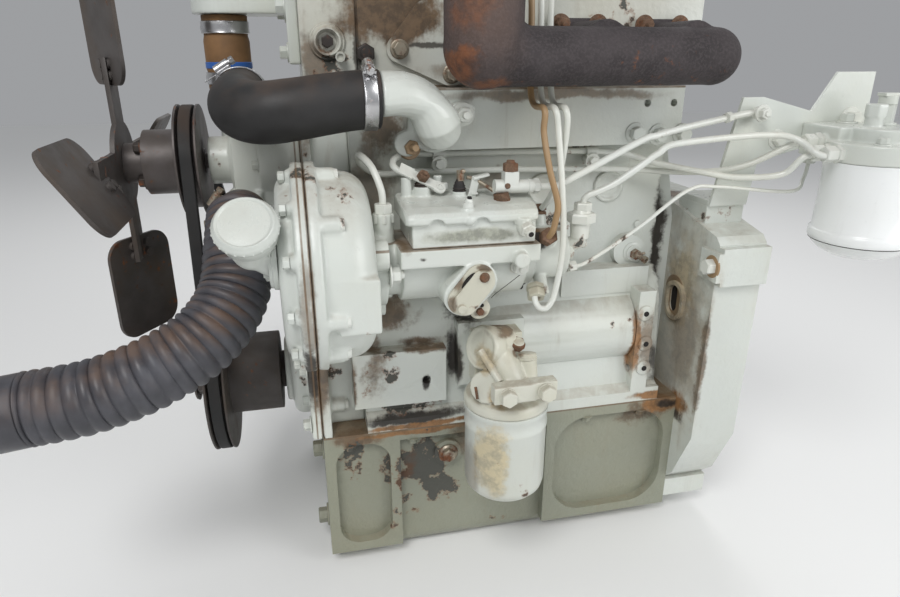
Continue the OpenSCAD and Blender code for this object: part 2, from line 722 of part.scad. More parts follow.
// Where each pipe turns up, from the rear end of the pump's body
pipe_turns = [[[34, -49, 42], [27, -42, 64]],
    [[28, -50, -58.5], [40, -56, -52], [46, -54, -20], [46, -50, 25], [38, -42, 72]],
    [[35, 17, 64], [38, 4, 92]]];
module injector_pipes() {
    color(bright) for (i = [0 : 2]) {
        o = outlets[i];
        s = unit(o - [o.x, -pump_y, pump_z]);
        x = bore_x + (i - 1) * bore_pitch;
        riser = pipe_top_x + (i - 1) * pipe_gap;
        rod(o + 0.2 * s, o + union_h * s, 8);
        pipe(concat([o + 12 * s], [for (p = pipe_turns[i]) p + [x_body, -pump_y, pump_z]],
            [[riser, log_y - 4, log_z - 50], [riser, log_y + 36, log_z - 36],
            [riser, log_y + 48, head_z], [riser + 0.12 * (x - riser), log_y + 54, head_z + 26],
            [x, injector_y - 16, injector_top + 30],
            [x, injector_y, injector_top + 22], [x, injector_y, injector_top + 1.2]]), pipe_r);
    }
}
module injectors() {
    color(dark_iron) for (i = [-1 : 1]) {
        x = bore_x + i * bore_pitch;
        zcyl(9, head_z, injector_top - 8, x, injector_y);
        zhex(14, injector_top - 9, injector_top, x, injector_y);
        bar(x - 24, x + 24, injector_y - 8, injector_y + 8, head_z, head_z + 6);
    }
}

// Low-pressure fuel pipes along the left side, to and from the filter
filter_x = 95;
filter_y = -220;
filter_top = 318;
union_x = filter_x - fuel_bowl_r - 6;
filter_unions = [[union_x, filter_y + 30, 301], [union_x, filter_y - 2, 292],
    [union_x, filter_y + 14, 291]];
wall_pipe_y = -wall_half - 12;
leak_r = 2.2;
banjo = [x_block + 49, deck_z - 73];
rear_union = [x_head + 10, -pump_y - 8, pump_z + 48];
module fuel_pipes() {
    color(paint) {
        ycyl(9, -wall_half - 14, -wall_half, banjo.x, banjo.y);
        pipe([[banjo.x + 4, wall_pipe_y, banjo.y + 3], [banjo.x + 28, wall_pipe_y, banjo.y + 5],
            [x_rear - 88, wall_pipe_y, banjo.y + 2], [x_rear - 32, -140, banjo.y - 9],
            [x_house - 16, -165, banjo.y - 17], [x_house + 20, -178, banjo.y - 22], [0, -196, 268],
            filter_unions[2] - [22, 0, 4], filter_unions[2] - [0.6, 0, 0]], pipe_r);
        xcyl(10, x_head, x_head + 12, -pump_y, pump_z);
        rod([x_head + 9, -pump_y, pump_z + 4], rear_union - [1, 0, 12], 7);
        zhex(22, rear_union.z - 24, rear_union.z - 8, rear_union.x - 2, rear_union.y + 2);
        pipe([rear_union - [1, 0, 10], rear_union + [4, -6, 12], rear_union + [14, -10, 20],
            [x_rear - 72, -187, pump_z + 102], [x_rear - 40, -187, pump_z + 115],
            [x_house + 54, -192, pump_z + 119], filter_unions[1] - [18, 0, 0],
            filter_unions[1] - [0.6, 0, 0]], pipe_r);
        pipe([[x_head - 9.5, -pump_y - 20, pump_z - 13], [x_head + 8, -pump_y - 20, pump_z - 11],
            [x_head + 36, -188, pump_z + 4], [x_head + 76, -185, pump_z + 28],
            [x_house - 41, -180, pump_z + 62],
            [x_house, -175, pump_z + 63], [28, -180, 245], [56, -165, 256], [62, -162, bowl_top - 0.6]],
            leak_r);
    }
}
module oil_pipe() {
    color(paint) pipe([fuel_inlet + [0, 0, 0.5], fuel_inlet + [-1, 2, 22], fuel_inlet + [-8, 16, 42],
        fuel_inlet + [-17, 40, 50], fuel_inlet + [-14, 62, 38], [x_block + 38, wall_pipe_y, banjo.y - 14],
        [x_block + 84, wall_pipe_y, banjo.y - 15], [x_rear - 86, wall_pipe_y, banjo.y - 20],
        [x_house - 16, -150, banjo.y - 19], [x_house + 33, -168, banjo.y - 11],
        filter_unions[0] - [24, 0, 2], filter_unions[0] - [0.6, 0, 0]], pipe_r);
}

// Throttle rod from the pump's lever back to the bracket above the housing
bracket_y = -lug_pad_y;
bracket_t = 4;
rod_end = [-14, bracket_y - 11.2, lug_pad_z + 104];
module throttle_rod() {
    top = cover_top + 6 + lever_t;
    a = [rod_post.x, rod_post.y + rod_out, top + 6];
    color(paint) {
        zcyl(6, top, top + 14, a.x, a.y);
        xcyl(5.5, a.x - 12, a.x + 22, a.y, a.z + 1);
        pipe([a + [18, 0, 1], a + [40, 0, 2], [x_rear - 60, bracket_y - 40, lug_pad_z + 86],
            [x_rear - 20, bracket_y - 30, lug_pad_z + 94], rod_end - [20, 2, 1], rod_end], 3.6);
        translate(rod_end) sphere(7);
    }
}
module control_bracket() {
    z = lug_pad_z;
    color(paint) {
        bar(x_house + 6, -6, -lug_pad_y, -92, z, z + 6);
        along_y(bracket_y - bracket_t, bracket_y) polygon([[x_house + 6, z], [-6, z], [0, z + 50],
            [60, z + 64], [136, z + 64], [136, z + 146], [86, z + 146], [60, z + 104],
            [-4, z + 120], [-30, z + 120], [-40, z + 74]]);
    }
}

// Fuel filter: head casting with its unions, and the bowl below
bowl_top = 283;
bowl_bottom = 177;
module fuel_filter_head() {
    color(paint) {
        zcyl(fuel_bowl_r, bowl_top, bowl_top + 20, filter_x, filter_y);
        zcyl(30, bowl_top + 19, filter_top, filter_x, filter_y);
        bar(filter_x - 44, filter_x + 44, filter_y + 10, bracket_y - bracket_t, bowl_top, filter_top);
        zcyl(9, filter_top - 1, filter_top + 12, filter_x - 14, filter_y);
        zhex(19, filter_top + 11, filter_top + 24, filter_x - 14, filter_y);
        for (u = filter_unions) xcyl(7.5, u.x, filter_x - 28, u.y, u.z);
    }
}
module fuel_filter_bowl() {
    color([0.86, 0.87, 0.86]) translate([filter_x, filter_y, bowl_bottom]) rotate_extrude()
        polygon([[0, 0], [16, 0], [30, 5], [fuel_bowl_r - 10, 14], [fuel_bowl_r - 4, 24],
            [fuel_bowl_r - 2, 36], [fuel_bowl_r, 37], [fuel_bowl_r, 42], [fuel_bowl_r - 3, 43],
            [fuel_bowl_r - 3, 106], [0, 106]]);
}

// Oil filter on the crankcase: a leaning head casting on a flange, and the can below
oil_x = x_mid - 36.5;
oil_y = -flange_half - 55;
can_top = 34;
can_bottom = sump_z + 125;
pad_y = -flange_half - 8;
head_lean = [[oil_x - 3, pad_y - 14, 112], [oil_x + 2, oil_y - 4, can_top + 22]];
module oil_filter_head() {
    color(paint) {
        zcyl(oil_can_r, can_top, can_top + 14, oil_x, oil_y);
        zcyl(oil_can_r - 6, can_top + 13, can_top + 24, oil_x, oil_y);
        rod(head_lean[1], head_lean[0], 27);
        rod(head_lean[1], head_lean[0] + 9 * unit(head_lean[0] - head_lean[1]), 22);
        bar(oil_x - 26, oil_x + 30, oil_y, -flange_half, can_top + 4, 90);
        bar(oil_x - 40, oil_x + 36, pad_y, -flange_half, can_top - 4, 104);
        for (s = [-1, 1]) {
            ycyl(11, oil_y - 50, oil_y, oil_x + 1 + s * 25, can_top + 13);
            yhex(18, oil_y - 58, oil_y - 49, oil_x + 1 + s * 25, can_top + 13);
        }
    }
}
module oil_filter_can() {
    h = can_top - can_bottom;
    color([0.80, 0.76, 0.64]) translate([oil_x, oil_y, can_bottom]) rotate_extrude()
        polygon([[0, 0], [14, 0], [14, 6], [oil_can_r - 12, 6], [oil_can_r - 4, 12],
            [oil_can_r - 1, 20], [oil_can_r - 1, h], [0, h]]);
}

// Exhaust manifold: three branches into a log that turns up at its front end
log_y = -head_half - 81;
log_z = deck_z + 30;
log_r = 27;
log_rear = bore_x + 160;
elbow_x = bore_x - 78;
branch_x = bore_x - 50;
branch_pitch = 96;
riser_r = 37;
outlet_z = log_z + 82;
module exhaust_manifold() {
    color(dark_iron) difference() {
        union() {
            xcyl(log_r, elbow_x, log_rear, log_y, log_z);
            translate([log_rear, log_y, log_z]) sphere(log_r + 0.6);
            translate([elbow_x, log_y, log_z + 8]) sphere(riser_r + 0.6);
            zcyl(riser_r, log_z + 8, outlet_z, elbow_x, log_y);
            for (i = [0 : 2]) {
                x = branch_x + i * branch_pitch;
                ycyl(22, log_y, -head_half - 8, x, log_z + 12);
                bar(x - 28, x + 28, -head_half - 10, -head_half, log_z - 14, log_z + 38);
            }
        }
        zcyl(riser_r - 9, log_z + 30, outlet_z + 1, elbow_x, log_y);
    }
}
outlet_bore_r = 26;
outlet_bolt_y = 46;
module exhaust_flange() {
    color([0.62, 0.60, 0.57]) difference() {
        translate([elbow_x, log_y, outlet_z]) linear_extrude(10) {
            circle(40);
            for (s = [-1, 1]) translate([0, s * outlet_bolt_y]) circle(15);
            translate([-34, -24]) square([68, 48]);
        }
        zcyl(outlet_bore_r, outlet_z - 1, outlet_z + 11, elbow_x, log_y);
        for (s = [-1, 1])
            zcyl(5, outlet_z - 1, outlet_z + 11, elbow_x, log_y + s * outlet_bolt_y);
    }
}

// Right-hand side: inlet manifold, lift pump, dipstick and starter
inlet_log_y = head_half + 63;
inlet_z = deck_z + 52;
inlet_r = 26;
runner_pitch = 87;
module inlet_manifold() {
    x0 = bore_x - 150;
    x1 = bore_x + 150;
    color(paint) difference() {
        union() {
            xcyl(inlet_r, x0, x1, inlet_log_y, inlet_z);
            xcyl(inlet_r - 6, x0 - 6, x1 + 6, inlet_log_y, inlet_z);
            for (i = [-1 : 1]) {
                x = bore_x + i * runner_pitch;
                ycyl(20, head_half + 8, inlet_log_y, x, inlet_z);
                bar(x - 34, x + 34, head_half, head_half + 10, inlet_z - 24, inlet_z + 26);
            }
            zcyl(24, inlet_z, inlet_z + 48, bore_x, inlet_log_y);
        }
        zcyl(19, inlet_z + 10, inlet_z + 49, bore_x, inlet_log_y);
    }
}
lift_x = x_mid - 27.5;
lift_y = wall_half + 50;
module lift_pump() {
    color(bright) {
        bar(lift_x - 30, lift_x + 30, wall_half, wall_half + 10, 170, 230);
        ycyl(26, wall_half + 9, lift_y - 4, lift_x, 204);
        zcyl(34, 184, 224, lift_x, lift_y);
        zcyl(22, 223, 244, lift_x, lift_y);
        zcyl(24, 172, 185, lift_x, lift_y);
    }
}
dipstick_top = rail_z - 24;
module dipstick() {
    color(bright) {
        zcyl(5, dipstick_pad.z, dipstick_top, dipstick_pad.x, dipstick_pad.y);
        zcyl(9, dipstick_pad.z, dipstick_pad.z + 13, dipstick_pad.x, dipstick_pad.y);
        translate([dipstick_pad.x, dipstick_pad.y, dipstick_top + 7]) rotate([90, 0, 0]) rotate_extrude()
            translate([9, 0]) circle(2.4);
    }
}
starter_len = 230;
module starter() {
    x1 = x_house - 9.7;
    x0 = x1 - starter_len;
    color(dark_iron) {
        xcyl(starter_r, x0, x1, starter_y, starter_z);
        xcyl(30, x0 - 18, x0 + 1, starter_y, starter_z);
        xcyl(27, x0 + 38, x1 - 50, starter_y + 6, starter_z + 76);
        bar(x0 + 38, x1 - 50, starter_y - 10, starter_y + 18, starter_z + 40, starter_z + 60);
    }
    color(paint) along_x(x_house - 10, x_house) translate([starter_y - 44, starter_z - 48])
        rounded(96, 96, 24);
}

// Dynamo, its bracket and its pulley
dynamo_y = 214;
dynamo_z = 150;
dynamo_r = 52;
dynamo_x = [x_cover - 76, x_cover + 120];
shield_r = dynamo_r + 2;
module dynamo() {
    color([0.20, 0.20, 0.21]) difference() {
        union() {
            xcyl(dynamo_r, dynamo_x[0], dynamo_x[1], dynamo_y, dynamo_z);
            xcyl(shield_r, dynamo_x[0], dynamo_x[0] + 24, dynamo_y, dynamo_z);
            xcyl(shield_r, dynamo_pad_x[1] + 1, dynamo_x[1], dynamo_y, dynamo_z);
            xcyl(24, dynamo_x[0] - 10, dynamo_x[0] + 1, dynamo_y, dynamo_z);
        }
        xcyl(8 + run_fit, dynamo_x[0] - 11, dynamo_x[0] + 30, dynamo_y, dynamo_z);
    }
}
module dynamo_bracket() {
    color(paint) {
        bar(x_cover + 16, dynamo_pad_x[1], dynamo_pad_y, dynamo_y + 12,
            dynamo_pad_z[1] - 13.7, dynamo_pad_z[1]);
        bar(dynamo_pad_x[0], dynamo_pad_x[1], dynamo_pad_y, dynamo_pad_y + 14, dynamo_pad_z[0], 90);
        along_x(x_cover - 6, x_cover) polygon([[92, 192], [118, 216], [206, 224], [228, 216],
            [228, 202.3], [196, 202.3], [120, 196], [104, 180]]);
    }
}
module grooved(r, w, bore) {
    g = belt_h / 2 + belt_gap;
    rotate_extrude() polygon([[bore, 0], [r + 5, 0], [r + 5, 2.5], [r - g, (w - belt_w) / 2 - 1],
        [r - g, (w + belt_w) / 2 + 1], [r + 5, w - 2.5], [r + 5, w], [bore, w]]);
}
pulley_w = 24;
module dynamo_rotor() {
    color([0.20, 0.20, 0.21]) {
        translate([x_belt - pulley_w / 2, dynamo_y, dynamo_z]) rotate([0, 90, 0])
            grooved(dynamo_belt_r, pulley_w, 7);
        xcyl(8, x_belt - 22, dynamo_x[0] + 24, dynamo_y, dynamo_z);
        xhex(22, x_belt - 22, x_belt - 11, dynamo_y, dynamo_z);
    }
}

// One closed belt round the three pulleys
module belt_outline(d) {
    hull() {
        circle(crank_belt_r + d);
        translate([0, fan_z]) circle(fan_belt_r + d);
        translate([dynamo_y, dynamo_z]) circle(dynamo_belt_r + d);
    }
}
module fan_belt() {
    color(black_rubber) along_x(x_belt - belt_w / 2, x_belt + belt_w / 2) difference() {
        belt_outline(belt_h / 2, $fn = 128);
        belt_outline(-belt_h / 2, $fn = 128);
    }
}

// Fan pulley on the pump's shaft, and the riveted fan ahead of it
hub_r = 36;
module fan_pulley() {
    color(fan_brown) {
        translate([x_belt - pulley_w / 2, 0, fan_z]) rotate([0, 90, 0])
            grooved(fan_belt_r, pulley_w, 8);
        xcyl(hub_r, x_belt - 50, x_belt - 11, 0, fan_z);
        xcyl(22, x_fan + 5, x_belt - 49, 0, fan_z);
        xcyl(pump_shaft_r, x_belt + 11, x_cover - 30, 0, fan_z);
        xcyl(14, x_belt - 12, x_belt + 13, 0, fan_z);
    }
}
blade_count = 4;
module fan_blades() {
    color(fan_brown) translate([x_fan, 0, fan_z]) {
        xcyl(47, 0, 5);
        xhex(20, -12, 1);
        for (k = [0 : blade_count - 1]) rotate([90 * k, 0, 0]) {
            bar(0, 5, -17, 17, 30, 112);
            translate([2, 0, 0]) rotate([0, 0, blade_pitch]) {
                translate([-2, 0, 84]) rotate([90, 0, 90]) linear_extrude(4)
                    translate([-46, 0]) rounded(92, fan_r - 86, 22);
                for (y = [-11, 11], z = [94, 106]) xcyl(5, -5, 6, y, z);
            }
        }
    }
}

// Crankshaft pulley and flywheel with its starter ring
module crank_pulley() {
    color([0.45, 0.43, 0.42]) {
        translate([x_belt - pulley_w / 2, 0, 0]) rotate([0, 90, 0])
            grooved(crank_belt_r, pulley_w, 20);
        xcyl(51, x_belt + 11, x_cover - 34);
        xcyl(nose_r, x_belt - 12, x_flange - 1);
        xhex(44, x_belt - 30, x_belt - 11);
    }
}
module ring_gear(r, n, t) {
    tooth = 360 / n;
    linear_extrude(t) difference() {
        polygon([for (i = [0 : n - 1], s = [[-0.32, 0], [-0.16, 5], [0.16, 5], [0.32, 0]])
            (r + s[1]) * [cos((i + s[0]) * tooth), sin((i + s[0]) * tooth)]]);
        circle(r - 12);
    }
}
ring_r = 153;
pilot_r = 21;
pilot_len = 22;
module flywheel() {
    color([0.50, 0.50, 0.50]) {
        translate([-43, 0, 0]) rotate([0, 90, 0]) ring_gear(ring_r, ring_teeth, 12);
        difference() {
            union() {
                xcyl(ring_r - 11.7, -43, -31);
                xcyl(flywheel_r, -31, -12);
                xcyl(crank_hole_r - run_fit, x_house + 2, -42);
            }
            xcyl(112, -20, 0);
            xcyl(pilot_r, -42, 0);
            for (k = [0 : 5]) rotate([60 * k, 0, 0]) xcyl(5, -50, 0, 0, 36);
        }
    }
}

// Small fittings
module drain_tap() {
    y = -wall_half - 12;
    color([0.62, 0.60, 0.50]) {
        yhex(18, y - 8, y, tap_x, tap_z);
        ycyl(7, y - 29, y - 7, tap_x, tap_z);
        zcyl(4, tap_z - 8, tap_z + 18, tap_x, y - 20);
        bar(tap_x - 13, tap_x + 13, y - 24, y - 17, tap_z + 16, tap_z + 22);
    }
}
eye_r = 12;
eye_t = 10;
eye_x = [head_front + 26, head_rear - 14];
eye_z = head_z + 34;
module lifting_eyes() {
    color(paint) for (x = eye_x) difference() {
        along_y(-eye_t / 2, eye_t / 2) {
            translate([x - 17, head_z]) square([34, eye_z - head_z]);
            translate([x, eye_z]) circle(eye_r + 10);
        }
        ycyl(eye_r, -eye_t, eye_t, x, eye_z);
    }
}
module breather() {
    color(paint) {
        zcyl(10, 240, 440, x_block + 17, wall_half + 32);
        bar(x_block + 3, x_block + 33, wall_half, wall_half + 44, 222, 242);
    }
}

engine_block();
sump();
flywheel_housing();
cylinder_head();
rocker_cover();
timing_case();
timing_cover();
water_pump();
thermostat_housing();
bypass_hose();
water_elbow();
top_hose();
hose_clamps();
bottom_hose();
hose_cuff();
side_cover();
core_plugs();
oil_filler();
oil_cap();
injection_pump();
governor_cover();
pump_levers();
pump_side_plate();
injector_pipes();
injectors();
fuel_pipes();
oil_pipe();
throttle_rod();
control_bracket();
fuel_filter_head();
fuel_filter_bowl();
oil_filter_head();
oil_filter_can();
exhaust_manifold();
exhaust_flange();
inlet_manifold();
lift_pump();
dipstick();
starter();
dynamo();
dynamo_bracket();
dynamo_rotor();
fan_belt();
fan_pulley();
fan_blades();
crank_pulley();
flywheel();
drain_tap();
lifting_eyes();
breather();
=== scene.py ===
"""A dressed three-cylinder tractor diesel engine, painted pale grey and long in use."""

import json
import math
from itertools import product

import bmesh
import bpy
from mathutils import Matrix, Vector


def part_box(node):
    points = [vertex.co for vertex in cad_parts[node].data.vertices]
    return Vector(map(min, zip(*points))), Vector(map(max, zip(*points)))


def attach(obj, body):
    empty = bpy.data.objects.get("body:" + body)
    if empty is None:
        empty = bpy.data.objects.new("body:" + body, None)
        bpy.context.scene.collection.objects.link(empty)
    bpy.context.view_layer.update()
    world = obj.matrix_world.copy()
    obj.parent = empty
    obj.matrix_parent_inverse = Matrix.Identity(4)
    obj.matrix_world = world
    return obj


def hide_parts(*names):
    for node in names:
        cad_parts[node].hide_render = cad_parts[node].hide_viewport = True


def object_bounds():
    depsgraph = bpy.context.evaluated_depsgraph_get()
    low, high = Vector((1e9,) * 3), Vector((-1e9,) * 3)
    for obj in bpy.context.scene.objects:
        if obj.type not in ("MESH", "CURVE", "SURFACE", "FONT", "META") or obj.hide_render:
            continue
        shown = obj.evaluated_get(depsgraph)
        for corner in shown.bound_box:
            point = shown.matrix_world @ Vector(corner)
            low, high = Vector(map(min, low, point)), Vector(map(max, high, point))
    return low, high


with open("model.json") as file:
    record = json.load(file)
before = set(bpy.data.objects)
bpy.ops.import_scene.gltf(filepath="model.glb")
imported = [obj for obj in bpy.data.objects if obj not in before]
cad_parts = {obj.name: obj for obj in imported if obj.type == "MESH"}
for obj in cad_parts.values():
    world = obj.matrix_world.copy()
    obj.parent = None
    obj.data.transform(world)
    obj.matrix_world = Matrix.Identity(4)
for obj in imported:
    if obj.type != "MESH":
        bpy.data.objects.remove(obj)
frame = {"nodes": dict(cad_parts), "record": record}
cad_low, cad_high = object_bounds()
nodes = frame["nodes"]
body_of_node = {n: b for b, ns in frame["record"]["behaviour"]["bodies"].items() for n in ns}
slot_of_node = {s["node"]: s["material_slot"] for s in frame["record"]["subparts"]}
scene = bpy.context.scene
MM = 0.001


# Shader maths: how far a stain's edge strays, in metres, and the reach in millimetres
# from which a stain strays in full
WAVER = 0.07
WIDE_STAIN = 40


class Wire:
    """A socket's value on its way through a material, with the usual arithmetic."""

    def __init__(self, finish, socket):
        self.finish = finish
        self.socket = socket

    def _maths(self, operation, *values):
        node = self.finish.node("ShaderNodeMath", {"operation": operation}, values)
        return self.finish.wire(node)

    def __add__(self, other):
        return self._maths("ADD", self, other)

    def __sub__(self, other):
        return self._maths("SUBTRACT", self, other)

    def __rsub__(self, other):
        return self._maths("SUBTRACT", other, self)

    def __mul__(self, other):
        return self._maths("MULTIPLY", self, other)

    def __abs__(self):
        return self._maths("ABSOLUTE", self)

    __radd__ = __add__
    __rmul__ = __mul__

    def least(self, other):
        return self._maths("MINIMUM", self, other)

    def most(self, other):
        return self._maths("MAXIMUM", self, other)

    def step(self, low, high):
        """0 below low, 1 above high, smooth between; low may be the larger."""
        node = self.finish.node(
            "ShaderNodeMapRange",
            {"interpolation_type": "SMOOTHSTEP"},
            {"Value": self, "From Min": low, "From Max": high},
        )
        return self.finish.wire(node)


class Finish:
    """One material with a single coated surface, and what is added to its tree."""

    def __init__(self, name):
        self.material = bpy.data.materials.new(name)
        self.material.use_nodes = True
        self.tree = self.material.node_tree
        self.tree.nodes.clear()
        self.surface = self.node("ShaderNodeBsdfPrincipled")
        output = self.node("ShaderNodeOutputMaterial")
        self.tree.links.new(self.surface.outputs[0], output.inputs[0])
        place = self.node("ShaderNodeTexCoord")
        self.place = self.wire(place, "Object")
        self.facing = self.wire(place, "Normal")
        self.uneven = None

    def node(self, kind, settings=None, sockets=None):
        node = self.tree.nodes.new(kind)
        for name, value in (settings or {}).items():
            setattr(node, name, value)
        given = sockets or {}
        if not isinstance(given, dict):
            given = dict(enumerate(given))
        for key, value in given.items():
            self.feed(node.inputs[key], value)
        return node

    def feed(self, socket, value):
        if isinstance(value, Wire):
            self.tree.links.new(value.socket, socket)
        elif isinstance(value, (tuple, list)) and len(value) == 3 and socket.type == "RGBA":
            socket.default_value = (*value, 1)
        else:
            socket.default_value = value

    def wire(self, node, output=0):
        return Wire(self, node.outputs[output])

    def set(self, **sockets):
        for name, value in sockets.items():
            self.feed(self.surface.inputs[name.replace("_", " ")], value)

    def stretched(self, scale, shift=(0, 0, 0)):
        node = self.node(
            "ShaderNodeMapping", None, {"Vector": self.place, "Scale": scale, "Location": shift}
        )
        return self.wire(node)

    def noise(self, scale, detail=3, rough=0.55, at=None, warp=0):
        node = self.node(
            "ShaderNodeTexNoise",
            None,
            {
                "Vector": at or self.place,
                "Scale": scale,
                "Detail": detail,
                "Roughness": rough,
                "Distortion": warp,
            },
        )
        return self.wire(node)

    def mix(self, share, first, second):
        node = self.node("ShaderNodeMix", {"data_type": "RGBA"}, {0: share, 6: first, 7: second})
        return self.wire(node, 2)

    def wavering(self):
        """The place on the object, pushed about a little so that stains get ragged edges."""
        if self.uneven is None:
            ragged = self.node(
                "ShaderNodeTexNoise", None,
                {"Vector": self.place, "Scale": 16, "Detail": 5, "Roughness": 0.7}
            )
            pushed = self.node(
                "ShaderNodeVectorMath",
                {"operation": "MULTIPLY_ADD"},
                {0: self.wire(ragged, "Color"), 1: (WAVER,) * 3, 2: self.place},
            )
            centred = self.node(
                "ShaderNodeVectorMath", {"operation": "SUBTRACT"},
                {0: self.wire(pushed), 1: (WAVER / 2,) * 3}
            )
            self.uneven = self.wire(centred)
        return self.uneven

    def near(self, centre, reach):
        """1 at a place on the object, given in millimetres, falling to 0 at its reach along X, Y and Z.

        A thin stain wavers less, so that it stays where it belongs.
        """
        give = max(0.25, min(1, min(reach) / WIDE_STAIN))
        kept = self.node(
            "ShaderNodeMix", {"data_type": "VECTOR"}, {0: give, 4: self.place, 5: self.wavering()}
        )
        node = self.node(
            "ShaderNodeMapping",
            None,
            {
                "Vector": self.wire(kept, 1),
                "Scale": [1 / (r * MM) for r in reach],
                "Location": [-c / r for c, r in zip(centre, reach)],
            },
        )
        length = self.node("ShaderNodeVectorMath", {"operation": "LENGTH"}, {0: self.wire(node)})
        return self.wire(length, "Value").step(1, 0)

    def band(self, axis, at, width):
        """1 in a thin band across the object at one station, for a gasket's edge."""
        node = self.node("ShaderNodeSeparateXYZ", None, {0: self.place})
        return abs(self.wire(node, "XYZ".index(axis)) - at * MM).step(width * MM, width * MM * 0.5)

    def up(self):
        node = self.node("ShaderNodeSeparateXYZ", None, {0: self.facing})
        return self.wire(node, 2)

    def bump(self, height, strength, distance=0.001):
        before = self.surface.inputs["Normal"]
        sockets = {"Strength": strength, "Distance": distance, "Height": height}
        if before.links:
            sockets["Normal"] = Wire(self, before.links[0].from_socket)
        node = self.node("ShaderNodeBump", None, sockets)
        self.feed(before, self.wire(node))


# Finishes
GREY = (0.61, 0.64, 0.60)
PRIMER = (0.078, 0.078, 0.066)
RUST = (0.22, 0.085, 0.03)
OIL = (0.022, 0.016, 0.012)
ORANGE = (0.30, 0.145, 0.050)
BROWN = (0.155, 0.095, 0.050)
CREAM = (0.46, 0.36, 0.20)
DUST = (0.24, 0.17, 0.105)
HAZE = (0.34, 0.275, 0.18)


def enamel(
    name, colour=GREY, wear=0.5, cast=0.25, grime=0.5, gloss=0.28, yellow=0.25, haze=0.06,
    stains=(), flakes=(), seams=()
):
    """Gloss enamel over cast iron: flaked to the primer, rusty rims, oil, dust and runs.

    stains: place, reach, strength, tint, for oil, rust and grime, and for painted shade; flakes: place,
    reach; seams: axis, station, width.
    """
    f = Finish(name)
    broad = f.noise(7, 4)
    fine = f.noise(52, 8, 0.66)
    speck = f.noise(190, 3, 0.6)
    runs = f.noise(1, 5, 0.6, f.stretched((70, 70, 8)), 0.4)
    aged = [c * s for c, s in zip(colour, (0.98, 0.90, 0.72))]
    paint = f.mix(broad.step(0.38, 0.72) * yellow, colour, aged)
    paint = f.mix(speck.step(0.62, 0.80) * 0.16, paint, [c * 0.55 for c in colour])
    group = f.noise(9, 4).step(0.60 - 0.16 * wear, 0.80 - 0.14 * wear)
    for place, reach in flakes:
        group = group.most(f.near(place, reach) * 1.5)
    chipping = fine + group * 0.34
    chip = chipping.step(0.845, 0.86) * group.step(0.02, 0.2)
    rim = chipping.step(0.79, 0.845) * group.step(0.02, 0.2) - chip
    dust = f.up().step(0.35, 0.95) * (runs * 1.5).step(0.3, 0.95)
    streak = runs.step(0.55, 0.80) * broad.step(0.32, 0.62)
    soil = (streak * 0.5 + dust * 0.55) * grime
    shade = f.mix(soil.least(0.8), paint, DUST)
    cloud = f.noise(4, 3, 0.5).step(0.36, 0.80) * haze
    shade = f.mix(cloud, shade, HAZE)
    rough = soil * 0.5 + gloss
    mottle = f.noise(75, 6, 0.7).step(0.36, 0.60)
    for place, reach, strength, tint in stains:
        spot = f.near(place, reach)
        ragged = spot * 1.25 + (fine - 0.5) * 1.1 + (runs - 0.5) * 0.6
        halo = (spot * 1.2 + (runs - 0.5) * 0.3).step(0.2, 1.0) * (strength * 0.4)
        shade = f.mix(halo, shade, [0.5 * (c + h) for c, h in zip(tint, HAZE)])
        edge = ragged.step(0.36, 0.92) * strength
        shade = f.mix(edge.least(0.95), shade, f.mix(mottle, [c * 0.5 for c in tint], tint))
        rough = rough + edge * 0.2
    shade = f.mix(rim.most(0) * 0.55, shade, RUST)
    rusty = f.noise(24, 5).step(0.54, 0.66)
    shade = f.mix(chip, shade, f.mix(rusty, PRIMER, (0.105, 0.055, 0.030)))
    for axis, station, width in seams:
        line = f.band(axis, station, width) * (f.noise(60, 4) + 0.25).least(1)
        shade = f.mix(line.least(1), shade, BROWN)
    f.set(Base_Color=shade, Roughness=(rough + chip * 0.3).least(0.85), Specular_IOR_Level=0.5)
    f.bump(f.noise(150, 4, 0.6), cast, 0.0014)
    f.bump(f.noise(30, 3), cast * 0.7, 0.0025)
    f.bump(chip, 0.7, -0.0005)
    return f.material


def rusting(f):
    return f.mix(f.noise(95, 5).step(0.35, 0.7), (0.24, 0.085, 0.03), (0.085, 0.036, 0.019))


def bare_metal(name, colour, rough=0.38, rusty=0.4, dusty=0.2, metal=0.9, grain=0.15):
    """Bare or thinly plated metal that has dulled, spotted with rust and dusted."""
    f = Finish(name)
    spots = (f.noise(80, 7, 0.68) + f.noise(12, 3) * 0.5).step(
        0.90 - 0.28 * rusty, 1.02 - 0.22 * rusty,
    )
    shade = f.mix(f.noise(32, 4).step(0.3, 0.75), colour, [c * 0.62 for c in colour])
    dirt = f.noise(16, 6).step(0.42, 0.8) * dusty
    shade = f.mix(dirt, shade, (0.12, 0.08, 0.05))
    shade = f.mix(spots, shade, rusting(f))
    f.set(
        Base_Color=shade,
        Metallic=(1 - spots) * (1 - dirt) * metal,
        Roughness=(spots * 0.4 + dirt * 0.3 + f.noise(60, 3) * 0.14 + rough - 0.07).least(0.95),
    )
    f.bump(f.noise(240, 4), grain, 0.0006)
    f.bump(spots, 0.3, 0.0005)
    return f.material


